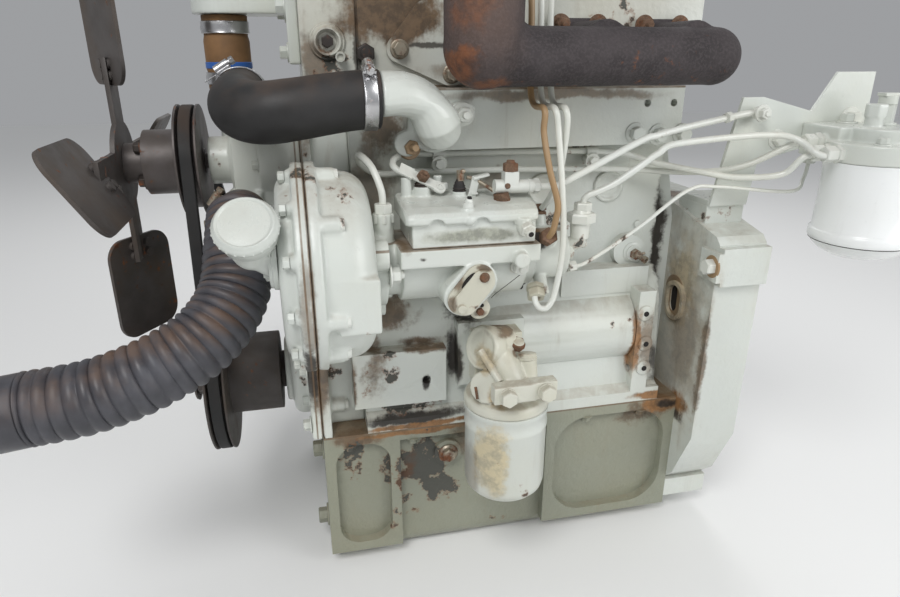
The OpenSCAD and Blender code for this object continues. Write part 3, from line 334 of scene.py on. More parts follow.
def rough_iron(name, dark=(0.075, 0.062, 0.068), orange=0.2, rough=0.75, stains=(), scorched=()):
    """Heat-darkened casting with a rough skin and orange rust in places."""
    f = Finish(name)
    fine = f.noise(85, 7, 0.66)
    shade = f.mix(f.noise(24, 5).step(0.32, 0.7), dark, [c * 1.7 for c in dark])
    shade = f.mix(f.noise(420, 2).step(0.45, 0.62) * 0.5, shade, [c * 2.3 for c in dark])
    for place, reach, share in scorched:
        shade = f.mix(f.near(place, reach) * share, shade, (0.25, 0.155, 0.115))
    rust = (fine + f.noise(10, 4) * 0.55).step(0.95 - orange * 0.25, 1.04 - orange * 0.16) * 0.6
    for place, reach, strength in stains:
        spot = f.near(place, reach)
        rust = rust.most((spot * 1.2 + (fine - 0.5) * 1.0).step(0.30, 0.9) * strength)
    shade = f.mix(rust, shade, rusting(f))
    f.set(Base_Color=shade, Roughness=rough, Specular_IOR_Level=0.35)
    f.bump(f.noise(190, 5, 0.62), 0.8, 0.0018)
    f.bump(f.noise(42, 4), 0.4, 0.0025)
    return f.material


def rubber(name, colour=(0.030, 0.030, 0.032), dusty=0.3, rough=0.48):
    """Hose or belt rubber with a greyish bloom, and brown dust where it lies upward."""
    f = Finish(name)
    bloom = f.noise(34, 5).step(0.35, 0.75)
    shade = f.mix(bloom * 0.6, colour, [c * 1.9 + 0.01 for c in colour])
    settled = f.up().step(-0.1, 0.9) * f.noise(22, 6).step(0.36, 0.72)
    shade = f.mix((settled * dusty).least(1), shade, (0.17, 0.10, 0.062))
    f.set(Base_Color=shade, Roughness=bloom * 0.2 + settled * 0.2 + rough, Specular_IOR_Level=0.45)
    f.bump(f.noise(300, 3), 0.14, 0.0005)
    return f.material


def plain(name, colour, rough=0.9):
    f = Finish(name)
    f.set(Base_Color=colour, Roughness=rough)
    return f.material


block_paint = enamel(
    "block_paint", wear=0.55, cast=0.3, grime=0.7, haze=0.2,
    # The dark stains behind the pump, under the manifold, along the joint with the sump and beside the
    # housing are partly oil and grime and partly painted shade in those recesses.
    stains=[
        ((-300, -116, 170), (130, 50, 70), 0.6, BROWN),
        ((-240, -131, 350), (230, 30, 12), 0.7, BROWN),
        ((-80, -104, 170), (20, 70, 190), 1.0, OIL),
        ((-108, -140, 60), (30, 70, 90), 0.7, BROWN),
        ((-126, -140, 60), (12, 70, 80), 0.9, ORANGE),
        ((-86, -130, 20), (24, 70, 60), 0.8, OIL),
        ((-387, -150, 80), (64, 60, 13), 0.9, BROWN),
        ((-474, -150, 40), (12, 60, 70), 1.0, BROWN),
        ((-430, -118, 118), (70, 60, 46), 0.85, BROWN),
        ((-450, -125, 60), (34, 60, 70), 0.8, BROWN),
        ((-340, -130, 120), (46, 60, 40), 0.9, OIL),
        ((-352, -140, 60), (16, 60, 60), 0.95, OIL),
        ((-387, -150, 38), (9, 60, 16), 1.0, OIL),
        ((-400, -150, -8), (120, 60, 14), 0.95, OIL),
        ((-390, -160, -18), (150, 60, 8), 1.0, ORANGE),
        ((-90, -150, -16), (70, 60, 10), 1.0, ORANGE),
        ((-496, -110, 40), (30, 70, 90), 1.0, BROWN),
        ((-440, -101, 250), (46, 60, 90), 0.6, BROWN),
        ((-424, -101, 310), (40, 60, 46), 0.8, BROWN),
        ((-290, -101, 252), (40, 60, 36), 0.55, BROWN),
    ],
    flakes=[((-240, -101, 200), (70, 60, 40)), ((-400, -150, 4), (80, 60, 15))],
    seams=[("Z", 357, 1.6)],
)
# The sump's dark olive grey is partly its own paint and partly painted shade, as under the engine above
# it.
sump_paint = enamel(
    "sump_paint", colour=(0.27, 0.282, 0.222), wear=0.6, cast=0.9, grime=0.5, haze=0.2,
    stains=[
        ((-330, -146, -40), (60, 40, 60), 0.6, BROWN),
        ((-100, -146, -40), (60, 40, 40), 0.75, BROWN),
        ((-470, -146, -30), (60, 40, 18), 0.85, BROWN),
        ((-400, -152, -27), (130, 40, 7), 0.9, ORANGE),
        ((-80, -152, -30), (60, 60, 22), 1.0, ORANGE),
        ((-70, -152, -30), (30, 60, 12), 0.9, OIL),
    ],
    flakes=[
        ((-396, -140, -84), (86, 60, 76)), ((-480, -150, -60), (40, 60, 60)),
        ((-372, -140, -120), (50, 60, 40)),
    ],
    seams=[("Z", -22.5, 2.2)],
)
housing_paint = enamel(
    "housing_paint", wear=0.35, cast=0.5, grime=0.45,
    stains=[
        # Partly a stained film and partly painted shade: a broad brownish tint that darkens the whole
        # front face.
        ((-62, -110, 70), (13, 190, 290), 0.42, (0.36, 0.30, 0.21)),
        ((-62, -124, 120), (16, 60, 110), 0.5, CREAM),
        ((-62, -150, 60), (16, 60, 120), 0.35, BROWN),
        ((-62, -74, 150), (20, 20, 84), 0.85, BROWN),
        ((-62, -64, 150), (20, 20, 84), 1.0, OIL),
        ((-62, -192, 40), (12, 18, 140), 0.75, BROWN),
        ((-62, -150, -30), (16, 60, 34), 1.0, ORANGE),
        ((-62, -140, -44), (16, 60, 22), 0.9, OIL),
        ((-40, -60, 224), (40, 60, 20), 0.9, BROWN),
    ],
)
case_paint = enamel(
    "case_paint", wear=0.5, cast=0.2, grime=0.6,
    stains=[
        ((-505, -190, 90), (14, 60, 60), 0.9, BROWN),
        ((-505, -140, 40), (20, 60, 80), 0.85, BROWN),
        ((-500, -110, 320), (26, 50, 60), 0.8, BROWN),
        ((-512, -262, 180), (14, 26, 90), 0.5, BROWN),
        ((-540, -100, 100), (40, 110, 90), 0.75, OIL),
        ((-515, -236, 104), (13, 60, 90), 0.95, OIL),
        ((-515, -130, 60), (16, 80, 90), 0.9, OIL),
        ((-511, -150, 270), (10, 60, 50), 0.8, OIL),
    ],
    seams=[("X", -508, 2.0), ("X", -514, 1.2)],
)
pump_paint = enamel(
    "pump_paint", wear=0.26, cast=0.10, grime=0.35, gloss=0.24,
    stains=[
        ((-274, -190, 212), (18, 40, 26), 1.0, OIL),
        ((-418, -205, 224), (12, 60, 22), 0.8, BROWN),
        ((-404, -214, 209), (8, 20, 5), 1.0, OIL),
        # Painted shade: a greenish grey darkening of the cover's low front wall, as in the shade under
        # the lip.
        ((-350, -220, 226), (90, 9, 13), 0.75, (0.34, 0.35, 0.28)),
        ((-355, -210, 150), (34, 30, 20), 0.6, BROWN),
        ((-275, -200, 156), (14, 30, 16), 0.9, BROWN),
        ((-306, -205, 186), (14, 20, 10), 0.5, CREAM),
    ],
    seams=[("Z", 216.4, 1.6)],
)
clean_paint = enamel("clean_paint", wear=0.25, cast=0.12, grime=0.3, gloss=0.24)
head_paint = enamel(
    "head_paint", wear=0.6, cast=0.35, grime=0.6, haze=0.55,
    # The stains over the upper head are partly oil and grime and mostly painted shadow, as cast by a
    # bonnet above.
    stains=[
        ((-490, -100, 380), (30, 60, 60), 0.7, BROWN),
        ((-446, -106, 400), (8, 30, 90), 0.8, OIL),
        ((-410, -106, 425), (120, 40, 60), 1.0, BROWN),
        ((-372, -112, 398), (40, 30, 6), 0.8, OIL),
        ((-330, -106, 372), (80, 30, 20), 0.5, BROWN),
    ],
    seams=[("Z", 359, 1.6)],
)
pipe_paint = enamel(
    "pipe_paint", colour=(0.66, 0.68, 0.64), wear=0.5, cast=0.04, grime=0.35, gloss=0.25,
)
rusty_pipe = enamel(
    "rusty_pipe", colour=(0.34, 0.23, 0.13), wear=0.8, cast=0.05, grime=0.9, gloss=0.4, yellow=0.9,
)
plate_paint = enamel(
    "plate_paint", colour=(0.54, 0.53, 0.44), wear=0.45, cast=0.2, grime=0.9, yellow=0.9,
    stains=[
        ((-372, -226, 186), (12, 30, 26), 0.8, BROWN), ((-344, -226, 196), (18, 30, 8), 0.8, BROWN),
        ((-376, -226, 158), (9, 30, 16), 0.7, BROWN), ((-345, -220, 146), (12, 30, 6), 0.7, BROWN),
        ((-281, -205, 152), (10, 20, 6), 0.7, BROWN),
    ],
)
sight_paint = enamel(
    "sight_paint", colour=(0.23, 0.165, 0.10), wear=0.4, cast=0.2, grime=0.9, yellow=0.8,
)
can_paint = enamel(
    "can_paint", wear=0.3, cast=0.12, grime=0.4, yellow=0.3,
    stains=[
        ((-334, -240, -14), (30, 60, 90), 0.6, (0.62, 0.50, 0.26)),
        ((-352, -215, -40), (12, 60, 60), 0.35, BROWN),
    ],
)
white_paint = enamel(
    "white_paint", colour=(0.86, 0.88, 0.88), wear=0.14, cast=0.04, grime=0.15, gloss=0.16,
    yellow=0.05
)
cream_paint = enamel(
    "cream_paint", colour=(0.60, 0.60, 0.52), wear=0.35, cast=0.25, grime=0.9, yellow=0.8,
    stains=[
        ((-340, -214, 92), (26, 40, 26), 0.6, CREAM),
        ((-332, -246, 62), (20, 30, 26), 0.6, (0.45, 0.30, 0.12)),
        ((-305, -190, 116), (50, 60, 8), 0.8, BROWN), ((-356, -200, 100), (8, 40, 24), 0.8, BROWN),
        ((-300, -214, 96), (16, 14, 8), 0.8, BROWN),
    ],
)
bright_steel = bare_metal("bright_steel", (0.62, 0.62, 0.63), 0.28, 0.1, 0.1, 1.0)
union_steel = bare_metal("union_steel", (0.42, 0.37, 0.29), 0.42, 0.5, 0.5, 0.8)
dark_steel = bare_metal("dark_steel", (0.085, 0.075, 0.07), 0.42, 0.35, 0.4, 0.7)
dusty_steel = bare_metal("dusty_steel", (0.085, 0.075, 0.070), 0.55, 0.12, 0.55, 0.25)
hub_steel = bare_metal("hub_steel", (0.115, 0.10, 0.095), 0.48, 0.1, 0.3, 0.35)
rusty_steel = rough_iron("rusty_steel", (0.10, 0.060, 0.038), 0.8, 0.7)
manifold_iron = rough_iron(
    "manifold_iron", (0.032, 0.027, 0.028), 0.10,
    stains=[
        ((-366, -200, 374), (36, 60, 34), 0.7), ((-352, -215, 440), (40, 60, 60), 0.45),
        ((-330, -215, 362), (60, 40, 12), 0.6),
    ],
    scorched=[((-352, -225, 440), (70, 90, 110), 0.4)],
)
machined_iron = bare_metal("machined_iron", (0.36, 0.35, 0.34), 0.42, 0.3, 0.3)
die_cast = bare_metal("die_cast", (0.55, 0.56, 0.57), 0.5, 0.0, 0.35, 0.9, 0.5)
black_enamel = enamel(
    "black_enamel", colour=(0.022, 0.022, 0.023), wear=0.25, cast=0.15, grime=0.45, gloss=0.35,
    yellow=0
)
brass = bare_metal("brass", (0.56, 0.46, 0.27), 0.42, 0.1, 0.5)
smooth_rubber = rubber("smooth_rubber", (0.013, 0.0125, 0.0125), 0.3, 0.5)
ribbed_rubber = rubber("ribbed_rubber", (0.050, 0.050, 0.058), 0.8, 0.36)
belt_rubber = rubber("belt_rubber", (0.014, 0.014, 0.014), 0.25, 0.6)
mould_line = plain("mould_line", (0.20, 0.14, 0.09))
# Near-black for thin discs and slabs that stand for holes, sockets and slots, as painted shade of their
# depths; it also serves for dark seams, lines and marks.
hole_shade_and_dark_marks = plain("hole_shade_and_dark_marks", (0.010, 0.008, 0.007), 0.8)
blue_tape = plain("blue_tape", (0.03, 0.12, 0.42), 0.45)
brown_hose = rubber("brown_hose", (0.16, 0.085, 0.035), 0.3, 0.6)

finish_of_slot = {
    "grey_paint": clean_paint, "sump_paint": sump_paint, "white_paint": white_paint,
    "cream_paint": cream_paint, "pipe_paint": pipe_paint, "pipe_steel": union_steel,
    "bright_steel": bright_steel, "dark_steel": dark_steel, "dusty_steel": dusty_steel,
    "rusty_steel": rusty_steel, "manifold_iron": manifold_iron, "bare_iron": machined_iron,
    "bare_aluminium": die_cast, "black_paint": black_enamel, "brass": brass,
    "hose_rubber": smooth_rubber, "ribbed_rubber": ribbed_rubber, "belt_rubber": belt_rubber,
}
finish_of_node = {
    "engine_block": block_paint, "flywheel_housing": housing_paint, "timing_case": case_paint,
    "timing_cover": case_paint, "water_pump": case_paint, "governor_cover": pump_paint,
    "injection_pump": pump_paint, "cylinder_head": head_paint, "pump_side_plate": cream_paint,
    "fan_pulley": hub_steel, "bypass_hose": brown_hose, "oil_filter_head": cream_paint,
    "side_cover": head_paint, "core_plugs": head_paint, "oil_filter_can": can_paint,
}


def finish_for(node):
    return finish_of_node.get(node) or finish_of_slot[slot_of_node[node]]


for name, obj in nodes.items():
    obj.data.materials.clear()
    obj.data.materials.append(finish_for(name))


# Making shapes: every size and place below is in millimetres
FRONT, REAR = (-1, 0, 0), (1, 0, 0)
LEFT, RIGHT = (0, -1, 0), (0, 1, 0)
UP, DOWN = (0, 0, 1), (0, 0, -1)

# Centres that several pieces share, as Y and Z
TIMING = (-168, 190)
FAN = (0, 275)
DYNAMO = (214, 150)
STARTER = (182, 60)

# Centres seen from above, as X and Y
BYPASS = (-580, 30)
LIFT = (-300, 150)
FUEL_BOWL = (95, -220)
OIL_CAN = (-309, -205)

# Stations along X
INJECTORS = (-375, -258, -141)


def around(centre, r, angles, level=False):
    """Places on a circle, from right to up; a level circle goes from rear to right."""
    x, y, z = centre
    places = []
    for degrees in angles:
        a = math.radians(degrees)
        first, second = r * math.cos(a), r * math.sin(a)
        places.append((x + first, y + second, z) if level else (x, y + first, z + second))
    return places


def curve_through(points, turns):
    """A smooth line through the points, as many steps between each two as turns says."""
    line = []
    last = len(points) - 1
    for k in range(last * turns + 1):
        i = min(k // turns, last - 1)
        u = k / turns - i
        a, b, c, d = (Vector(points[min(max(j, 0), last)]) for j in (i - 1, i, i + 1, i + 2))
        line.append(
            0.5
            * (
                2 * b
                + (c - a) * u
                + (2 * a - 5 * b + 4 * c - d) * u**2
                + (3 * b - a - 3 * c + d) * u**3
            )
        )
    return line


class Shape:
    """A mesh built up from turned, drawn and flat-sided forms."""

    def __init__(self):
        self.form = bmesh.new()

    def _placed(self, verts, at, axis, turn):
        facing = Vector(axis).to_track_quat("Z", "Y").to_matrix().to_4x4()
        place = Matrix.Translation(Vector(at)) @ facing @ Matrix.Rotation(turn, 4, "Z")
        bmesh.ops.transform(self.form, matrix=place, verts=verts)
        return self

    def disc(self, at, axis, r, length, end=None, sides=32, turn=0.0):
        made = bmesh.ops.create_cone(
            self.form, cap_ends=True, segments=sides, depth=length,
            radius1=r, radius2=r if end is None else end,
        )["verts"]
        bmesh.ops.translate(self.form, verts=made, vec=(0, 0, length / 2))
        return self._placed(made, at, axis, turn)

    def ball(self, at, r):
        made = bmesh.ops.create_uvsphere(self.form, u_segments=20, v_segments=12, radius=r)["verts"]
        return self._placed(made, at, (0, 0, 1), 0)

    def block(self, low, high):
        made = bmesh.ops.create_cube(self.form, size=1)["verts"]
        low, high = Vector(low), Vector(high)
        bmesh.ops.scale(self.form, verts=made, vec=high - low)
        bmesh.ops.translate(self.form, verts=made, vec=(low + high) / 2)
        return self

    def slab(self, at, axis, size, along):
        """A flat block standing on a place: its length, width, and thickness along the axis."""
        axis = Vector(axis).normalized()
        along = (Vector(along) - axis * axis.dot(Vector(along))).normalized()
        facing = Matrix((along, axis.cross(along), axis)).transposed().to_4x4()
        made = bmesh.ops.create_cube(self.form, size=1)["verts"]
        bmesh.ops.scale(self.form, verts=made, vec=size)
        bmesh.ops.translate(self.form, verts=made, vec=(0, 0, size[2] / 2))
        bmesh.ops.transform(self.form, matrix=Matrix.Translation(Vector(at)) @ facing, verts=made)
        return self

    def turned(self, at, axis, outline, steps=40):
        """A solid of revolution; the outline is a list of radius and height along the axis."""
        before = set(self.form.verts)
        line = [self.form.verts.new((r, 0, h)) for r, h in outline]
        edges = [self.form.edges.new(pair) for pair in zip(line, line[1:])]
        bmesh.ops.spin(
            self.form, geom=line + edges, cent=(0, 0, 0), axis=(0, 0, 1), angle=2 * math.pi,
            steps=steps, use_merge=True,
        )
        made = [v for v in self.form.verts if v not in before]
        bmesh.ops.remove_doubles(self.form, verts=made, dist=1e-4)
        made = [v for v in self.form.verts if v not in before]
        faces = list({face for v in made for face in v.link_faces})
        bmesh.ops.recalc_face_normals(self.form, faces=faces)
        return self._placed(made, at, axis, 0)

    def knob(self, at, axis, outline, steps=40):
        """A solid of revolution whose outline is closed flat to its axis at both ends."""
        closed = [(0, outline[0][1]), *outline, (0, outline[-1][1])]
        return self.turned(at, axis, closed, steps)

    def ring(self, at, axis, r, thick, steps=40, round=10):
        """A round bar bent to a ring."""
        section = [
            (r + thick * math.cos(a), thick * math.sin(a))
            for a in [2 * math.pi * k / round for k in range(round + 1)]
        ]
        return self.turned(at, axis, section, steps)

    def drawn(self, points, r, turns=8, round=4, smooth=True):
        """A round bar or pipe along a line; r may be a function of the share of its length."""
        line = curve_through(points, turns) if smooth else [Vector(p) for p in points]
        curve = bpy.data.curves.new("line", "CURVE")
        curve.dimensions = "3D"
        curve.bevel_depth = 1
        curve.bevel_resolution = round
        curve.use_fill_caps = True
        spline = curve.splines.new("POLY")
        spline.points.add(len(line) - 1)
        for k, (point, place) in enumerate(zip(spline.points, line)):
            point.co = (*place, 1)
            point.radius = r(k / (len(line) - 1)) if callable(r) else r
        holder = bpy.data.objects.new("line", curve)
        mesh = bpy.data.meshes.new_from_object(holder)
        before = set(self.form.verts)
        self.form.from_mesh(mesh)
        made = [v for v in self.form.verts if v not in before]
        bmesh.ops.remove_doubles(self.form, verts=made, dist=1e-4)
        bpy.data.objects.remove(holder)
        bpy.data.curves.remove(curve)
        bpy.data.meshes.remove(mesh)
        return self

    def hexagon(self, at, axis, across, height, turn=0.0):
        """A hexagon with a chamfered top, as on a bolt's head, a nut or a union."""
        axis = Vector(axis).normalized()
        r = across / math.sqrt(3)
        lip = across * 0.07
        self.disc(at, axis, r, height - lip, sides=6, turn=turn)
        return self.disc(Vector(at) + axis * (height - lip), axis, r, lip, r * 0.9, 6, turn)

    def bolt(self, at, axis, across=13, washer=True, stud=0):
        """A bolt's head, or a nut on its stud, with its washer."""
        axis = Vector(axis).normalized()
        at = Vector(at)
        turn = (at.x * 0.31 + at.y * 0.17 + at.z * 0.23) % 1.05
        if washer:
            self.disc(at, axis, across * 0.86, across * 0.13, across * 0.82)
            at = at + axis * across * 0.13
        self.hexagon(at, axis, across, across * 0.62, turn)
        if stud:
            self.disc(at + axis * across * 0.6, axis, across * 0.29, stud, across * 0.25, 16)
        return self

    def mesh(self, name):
        """The finished mesh, in metres."""
        bmesh.ops.scale(self.form, verts=self.form.verts, vec=(MM, MM, MM))
        return meshed(self.form, name)

    def bolts(self, places, *look, **more):
        for at in places:
            self.bolt(at, *look, **more)
        return self

    def screw(self, at, axis, r, tall=3):
        """A round-headed screw."""
        dome = [(0, 0), (r, 0), (r, tall * 0.4), (r * 0.7, tall), (0, tall * 1.1)]
        return self.turned(at, Vector(axis).normalized(), dome, 20)


def meshed(form, name):
    mesh = bpy.data.meshes.new(name)
    form.to_mesh(mesh)
    form.free()
    return mesh


def linked(name, data):
    holder = bpy.data.objects.new(name, data)
    scene.collection.objects.link(holder)
    return holder


def piece(name, shape, finish, node, bevel=0.4, smooth=38, replaces=()):
    """Makes a shape a finished piece that moves with the node's body."""
    return fitted(name, shape.mesh(name), finish, node, bevel, smooth, replaces)


def fitted(name, mesh, finish, node, bevel=0.0, smooth=38, replaces=()):
    mesh.materials.clear()
    mesh.materials.append(finish)
    for polygon in mesh.polygons:
        polygon.use_smooth = True
    mesh.set_sharp_from_angle(angle=math.radians(smooth))
    made = linked(name, mesh)
    if bevel:
        edge = made.modifiers.new("edge", "BEVEL")
        edge.width = bevel * MM
        edge.segments = 2
        edge.limit_method = "ANGLE"
        edge.angle_limit = math.radians(30)
        edge.harden_normals = True
    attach(made, body_of_node[node])
    if replaces:
        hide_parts(*replaces)
    return made


def merged_copy(node):
    form = bmesh.new()
    form.from_mesh(nodes[node].data)
    bmesh.ops.remove_doubles(form, verts=form.verts, dist=2e-5)
    return form


def softened(mesh, grain, rounds, keep):
    """The same shape with every edge and corner rounded, as a sand casting's are."""
    pattern = linked("pattern", mesh)
    skin = pattern.modifiers.new("skin", "REMESH")
    skin.mode = "VOXEL"
    skin.voxel_size = grain * MM
    soft = pattern.modifiers.new("soft", "SMOOTH")
    soft.factor = 0.6
    soft.iterations = rounds
    fewer = pattern.modifiers.new("fewer", "DECIMATE")
    fewer.ratio = keep
    view = bpy.context.evaluated_depsgraph_get()
    made = bpy.data.meshes.new_from_object(pattern.evaluated_get(view))
    bpy.data.objects.remove(pattern)
    return made


def machined(node, width):
    """A node's own shape with its edges eased, as on a machined or pressed piece."""
    form = merged_copy(node)
    bmesh.ops.dissolve_limit(form, angle_limit=math.radians(2), verts=form.verts, edges=form.edges)
    name = node + "_skin"
    return fitted(name, meshed(form, name), finish_for(node), node, width, 30, (node,))


def cast(node, grain, rounds, keep):
    """A node's own shape, rounded as a casting."""
    made = softened(meshed(merged_copy(node), node + "_pattern"), grain, rounds, keep)
    made.name = node + "_skin"
    return fitted(node + "_skin", made, finish_for(node), node, 0, 60, (node,))


def founded(name, shape, finish, node, grain, rounds, keep, replaces):
    """A shape built here, rounded as a casting."""
    made = softened(shape.mesh(name), grain, rounds, keep)
    return fitted(name, made, finish, node, 0, 60, replaces)


def carved(shape, tool):
    """Cuts the second shape out of the first."""
    holders = [linked("carving", meshed(form, "carving")) for form in (shape.form, tool.form)]
    cut = holders[0].modifiers.new("cut", "BOOLEAN")
    cut.object = holders[1]
    cut.use_self = True
    view = bpy.context.evaluated_depsgraph_get()
    mesh = bpy.data.meshes.new_from_object(holders[0].evaluated_get(view))
    shape.form = bmesh.new()
    shape.form.from_mesh(mesh)
    for holder in holders:
        bpy.data.objects.remove(holder)
    return shape


def hull(shape, discs, axis, thick):
    """One flat plate round several discs, each a place and a radius."""
    before = set(shape.form.verts)
    for at, r in discs:
        shape.disc(at, axis, r, thick, sides=48)
    made = [v for v in shape.form.verts if v not in before]
    result = bmesh.ops.convex_hull(shape.form, input=made)
    inside = result["geom_interior"] + result["geom_unused"]
    spare = [v for v in inside if isinstance(v, bmesh.types.BMVert)]
    old = [f for f in shape.form.faces if all(v in made for v in f.verts) and len(f.verts) > 3]
    bmesh.ops.delete(shape.form, geom=list(set(old)), context="FACES_ONLY")
    bmesh.ops.delete(shape.form, geom=list(set(spare)), context="VERTS")
    return shape


# Castings and pressings: each keeps its node's shape and gets its edges rounded
def castings_and_pressings():
    for node, width in {
        "engine_block": 1.6, "sump": 2.0, "flywheel_housing": 1.8, "cylinder_head": 1.6,
        "rocker_cover": 1.2,
        "control_bracket": 0.7, "exhaust_flange": 1.0, "dynamo": 1.2,
        "dynamo_bracket": 0.8, "dynamo_rotor": 0.6, "fan_pulley": 0.7, "crank_pulley": 0.7,
        "fan_blades": 0.6, "flywheel": 0.8, "lift_pump": 1.2, "lifting_eyes": 1.4, "breather": 0.8,
        "injectors": 0.5,
        "fan_belt": 1.4, "starter": 1.2,
    }.items():
        machined(node, width)
    for node, grain, rounds, keep in [
        ("timing_case", 2.2, 5, 0.4), ("timing_cover", 1.8, 5, 0.35), ("water_pump", 1.5, 6, 0.35),
        ("injection_pump", 1.1, 6, 0.35),
        ("exhaust_manifold", 1.9, 6, 0.5), ("water_elbow", 1.4, 6, 0.4),
        ("thermostat_housing", 1.6, 5, 0.4),
        ("inlet_manifold", 2.0, 5, 0.4), ("fuel_filter_head", 1.3, 4, 0.4),
        ("oil_filler", 1.2, 6, 0.5),
    ]:
        made = cast(node, grain, rounds, keep)
        if node == "water_elbow":
            rise, below, fade = 11 * MM, 350 * MM, 30 * MM
            for vertex in made.data.vertices:
                vertex.co.z += rise * min(max((below - vertex.co.z) / fade, 0), 1)


# Front end
def timing_bolts():
    heads = Shape().bolts(around((-525, *TIMING), 95, range(100, 251, 30)), FRONT, 10, False)
    for y, z in [
        (-138, -8), (-124, 56), (-72, -11), (72, -11), (138, -8), (124, 50), (121, 100),
        (110, 160), (100, 214),
    ]:
        heads.bolt((-520, y, z), FRONT, 12)
    piece("timing_cover_bolts", heads, clean_paint, "timing_cover")
    nuts = Shape()
    for at in around((-480, *TIMING), 95, (100, 141, 195, 223, 262)) + [(-480, -120, 4)]:
        nuts.disc(at, REAR, 6.6, 4, 6)
    piece("timing_case_nuts", nuts, pipe_paint, "timing_case")


def water_pump_bolts():
    heads = Shape().bolts(product([-520], (-49, 49), (238, 336)), FRONT)
    heads.bolts(around((-554, *FAN), 49, (-60, 60, 120, 180, 240)), FRONT, 10)
    piece("water_pump_bolts", heads, clean_paint, "water_pump")
    stat = Shape().bolts([(-512, -48, 436), (-512, 0, 392), (-512, 48, 436)], FRONT)
    stat.bolts(around((*BYPASS, 492), 35, (30, 150, 270), True), UP, 10)
    piece("thermostat_bolts", stat, clean_paint, "thermostat_housing")


def worm_clip(shape, at, axis, r, toward):
    """A worm-drive hose clip: its band, the worm's barrel and the screw's head."""
    axis, toward, at = Vector(axis).normalized(), Vector(toward).normalized(), Vector(at)
    across = axis.cross(toward)
    half = 6.5
    shape.turned(
        at - axis * half, axis,
        [(r + 0.3, 0), (r + 1.0, 0), (r + 1.6, 0.8), (r + 1.3, 1.6), (r + 1.3, 11.4),
         (r + 1.6, 12.2), (r + 1.0, 13), (r + 0.3, 13), (r + 0.3, 0)],
        64,
    )
    shape.slab(at + toward * (r + 0.8), toward, (15, 12.4, 2.4), along=across)
    shape.disc(at + toward * (r + 5.6) - across * 8, across, 4.9, 16, sides=24)
    shape.disc(at + toward * (r + 5.6) + across * 8, across, 3.2, 3, sides=20)
    shape.hexagon(at + toward * (r + 5.6) + across * 10, across, 7.5, 4.5)
    shape.slab(at + toward * (r + 1.6) - across * 16, toward, (14, 8, 1.0), along=across)


def hoses():
    clips = Shape()
    worm_clip(clips, (-441.5, -164, 349.6), REAR, 27, (0, -0.35, 1))
    worm_clip(clips, (-564, -56.5, 350), RIGHT, 27, (-0.6, 0, 1))
    for z in (364.5, 418.5):
        worm_clip(clips, (*BYPASS, z), UP, 25, (-0.5, 0.85, 0))
    piece("worm_clips", clips, bright_steel, "hose_clamps", 0.3, replaces=("hose_clamps",))

    hose = Shape()
    run = [Vector((-432.4 - 5 * k, -164, 0)) for k in range(17)]
    for k in range(21):
        a = k * math.pi / 40
        run.append(Vector((-518 - 46 * math.sin(a), -118 - 46 * math.cos(a), 0)))
    run += [Vector((-564, -112 + 6.5 * k, 0)) for k in range(11)]
    last = len(run) - 1
    for k, point in enumerate(run):
        point.z = 350 - 11 * math.sin(math.pi * k / last) ** 2
    hose.drawn(run, lambda share: 27 + 1.5 * math.sin(math.pi * share) ** 2, 1, 22, False)
    piece("top_hose_skin", hose, smooth_rubber, "top_hose", 0, 50, ("top_hose",))
    lip = Shape().ring((-432.6, -164, 350), REAR, 25.2, 1.6)
    lip.ring((-564, -46.6, 350), RIGHT, 25.2, 1.6)
    piece("top_hose_lips", lip, smooth_rubber, "top_hose")

    bypass = Shape().turned(
        (*BYPASS, 352), UP,
        [(18, 0.2), (24.2, 0.2), (25, 1.2), (24.9, 6), (24.0, 9), (24.0, 18), (25.2, 22),
         (25.3, 52), (24.0, 58), (24.0, 68),
         (25, 72), (25, 78.6), (24.2, 79.4), (18, 79.4), (18, 0.2)],
        64,
    )
    piece("bypass_hose_skin", bypass, brown_hose, "bypass_hose", 0, 50, ("bypass_hose",))
    tape = Shape().turned(
        (*BYPASS, 375), UP,
        [(25.4, 0), (25.9, 0.4), (25.9, 6.6), (25.4, 7), (25, 7), (25, 0), (25.4, 0)],
        64,
    )
    piece("bypass_hose_band", tape, blue_tape, "bypass_hose")


RIBBED_RUN = [
    (-576, -64.5, 224), (-576, -88, 224), (-579, -118, 198), (-586, -150, 160), (-612, -180, 130),
    (-657, -198, 107), (-714, -205, 90), (-770, -207, 84),
]


def ribbed_hose():
    """The bottom hose with its moulded ribs, plain cuffs and the line where its mould parted."""
    ribs = 34
    plain_share = 0.115

    def girth(share):
        if share < plain_share:
            return 27.5
        rise = min((share - plain_share) / 0.03, 1)
        return 27.5 + rise * (4.6 + 3.5 * abs(math.cos(math.pi * ribs * share)) ** 0.6)

    hose = Shape().drawn(RIBBED_RUN, girth, 60, 24)
    axis = (Vector(RIBBED_RUN[-1]) - Vector(RIBBED_RUN[-2])).normalized()
    tip = Vector(RIBBED_RUN[-1])
    hose.knob(
        tip, axis,
        [(25, 2), (26, 4), (26, 33), (27, 34.3), (33, 34.3), (35, 32.6), (35, 3), (34, 1),
         (30, 0.4)],
        64,
    )
    piece(
        "ribbed_hose_skin", hose, ribbed_rubber, "bottom_hose", 0, 60, ("bottom_hose", "hose_cuff"),
    )

    line = curve_through(RIBBED_RUN, 60)
    first = int(len(line) * 0.14)
    seam = []
    for k in range(first, len(line) - 2):
        along = (line[k + 1] - line[k - 1]).normalized()
        out = along.cross(Vector(UP)).normalized() * 0.80 + Vector((0, 0, -0.60))
        out = (out - along * out.dot(along)).normalized()
        seam.append(line[k] + out * (girth(k / (len(line) - 1)) - 0.1))
    flash = Shape().drawn(seam, 0.75, 1, 2, False)
    piece("ribbed_hose_mould_line", flash, mould_line, "bottom_hose", 0)
    band = Shape()
    worm_clip(band, (-576, -74, 224), RIGHT, 27.2, (-0.8, 0, 0.6))
    piece("ribbed_hose_clip", band, union_steel, "bottom_hose", 0.3)


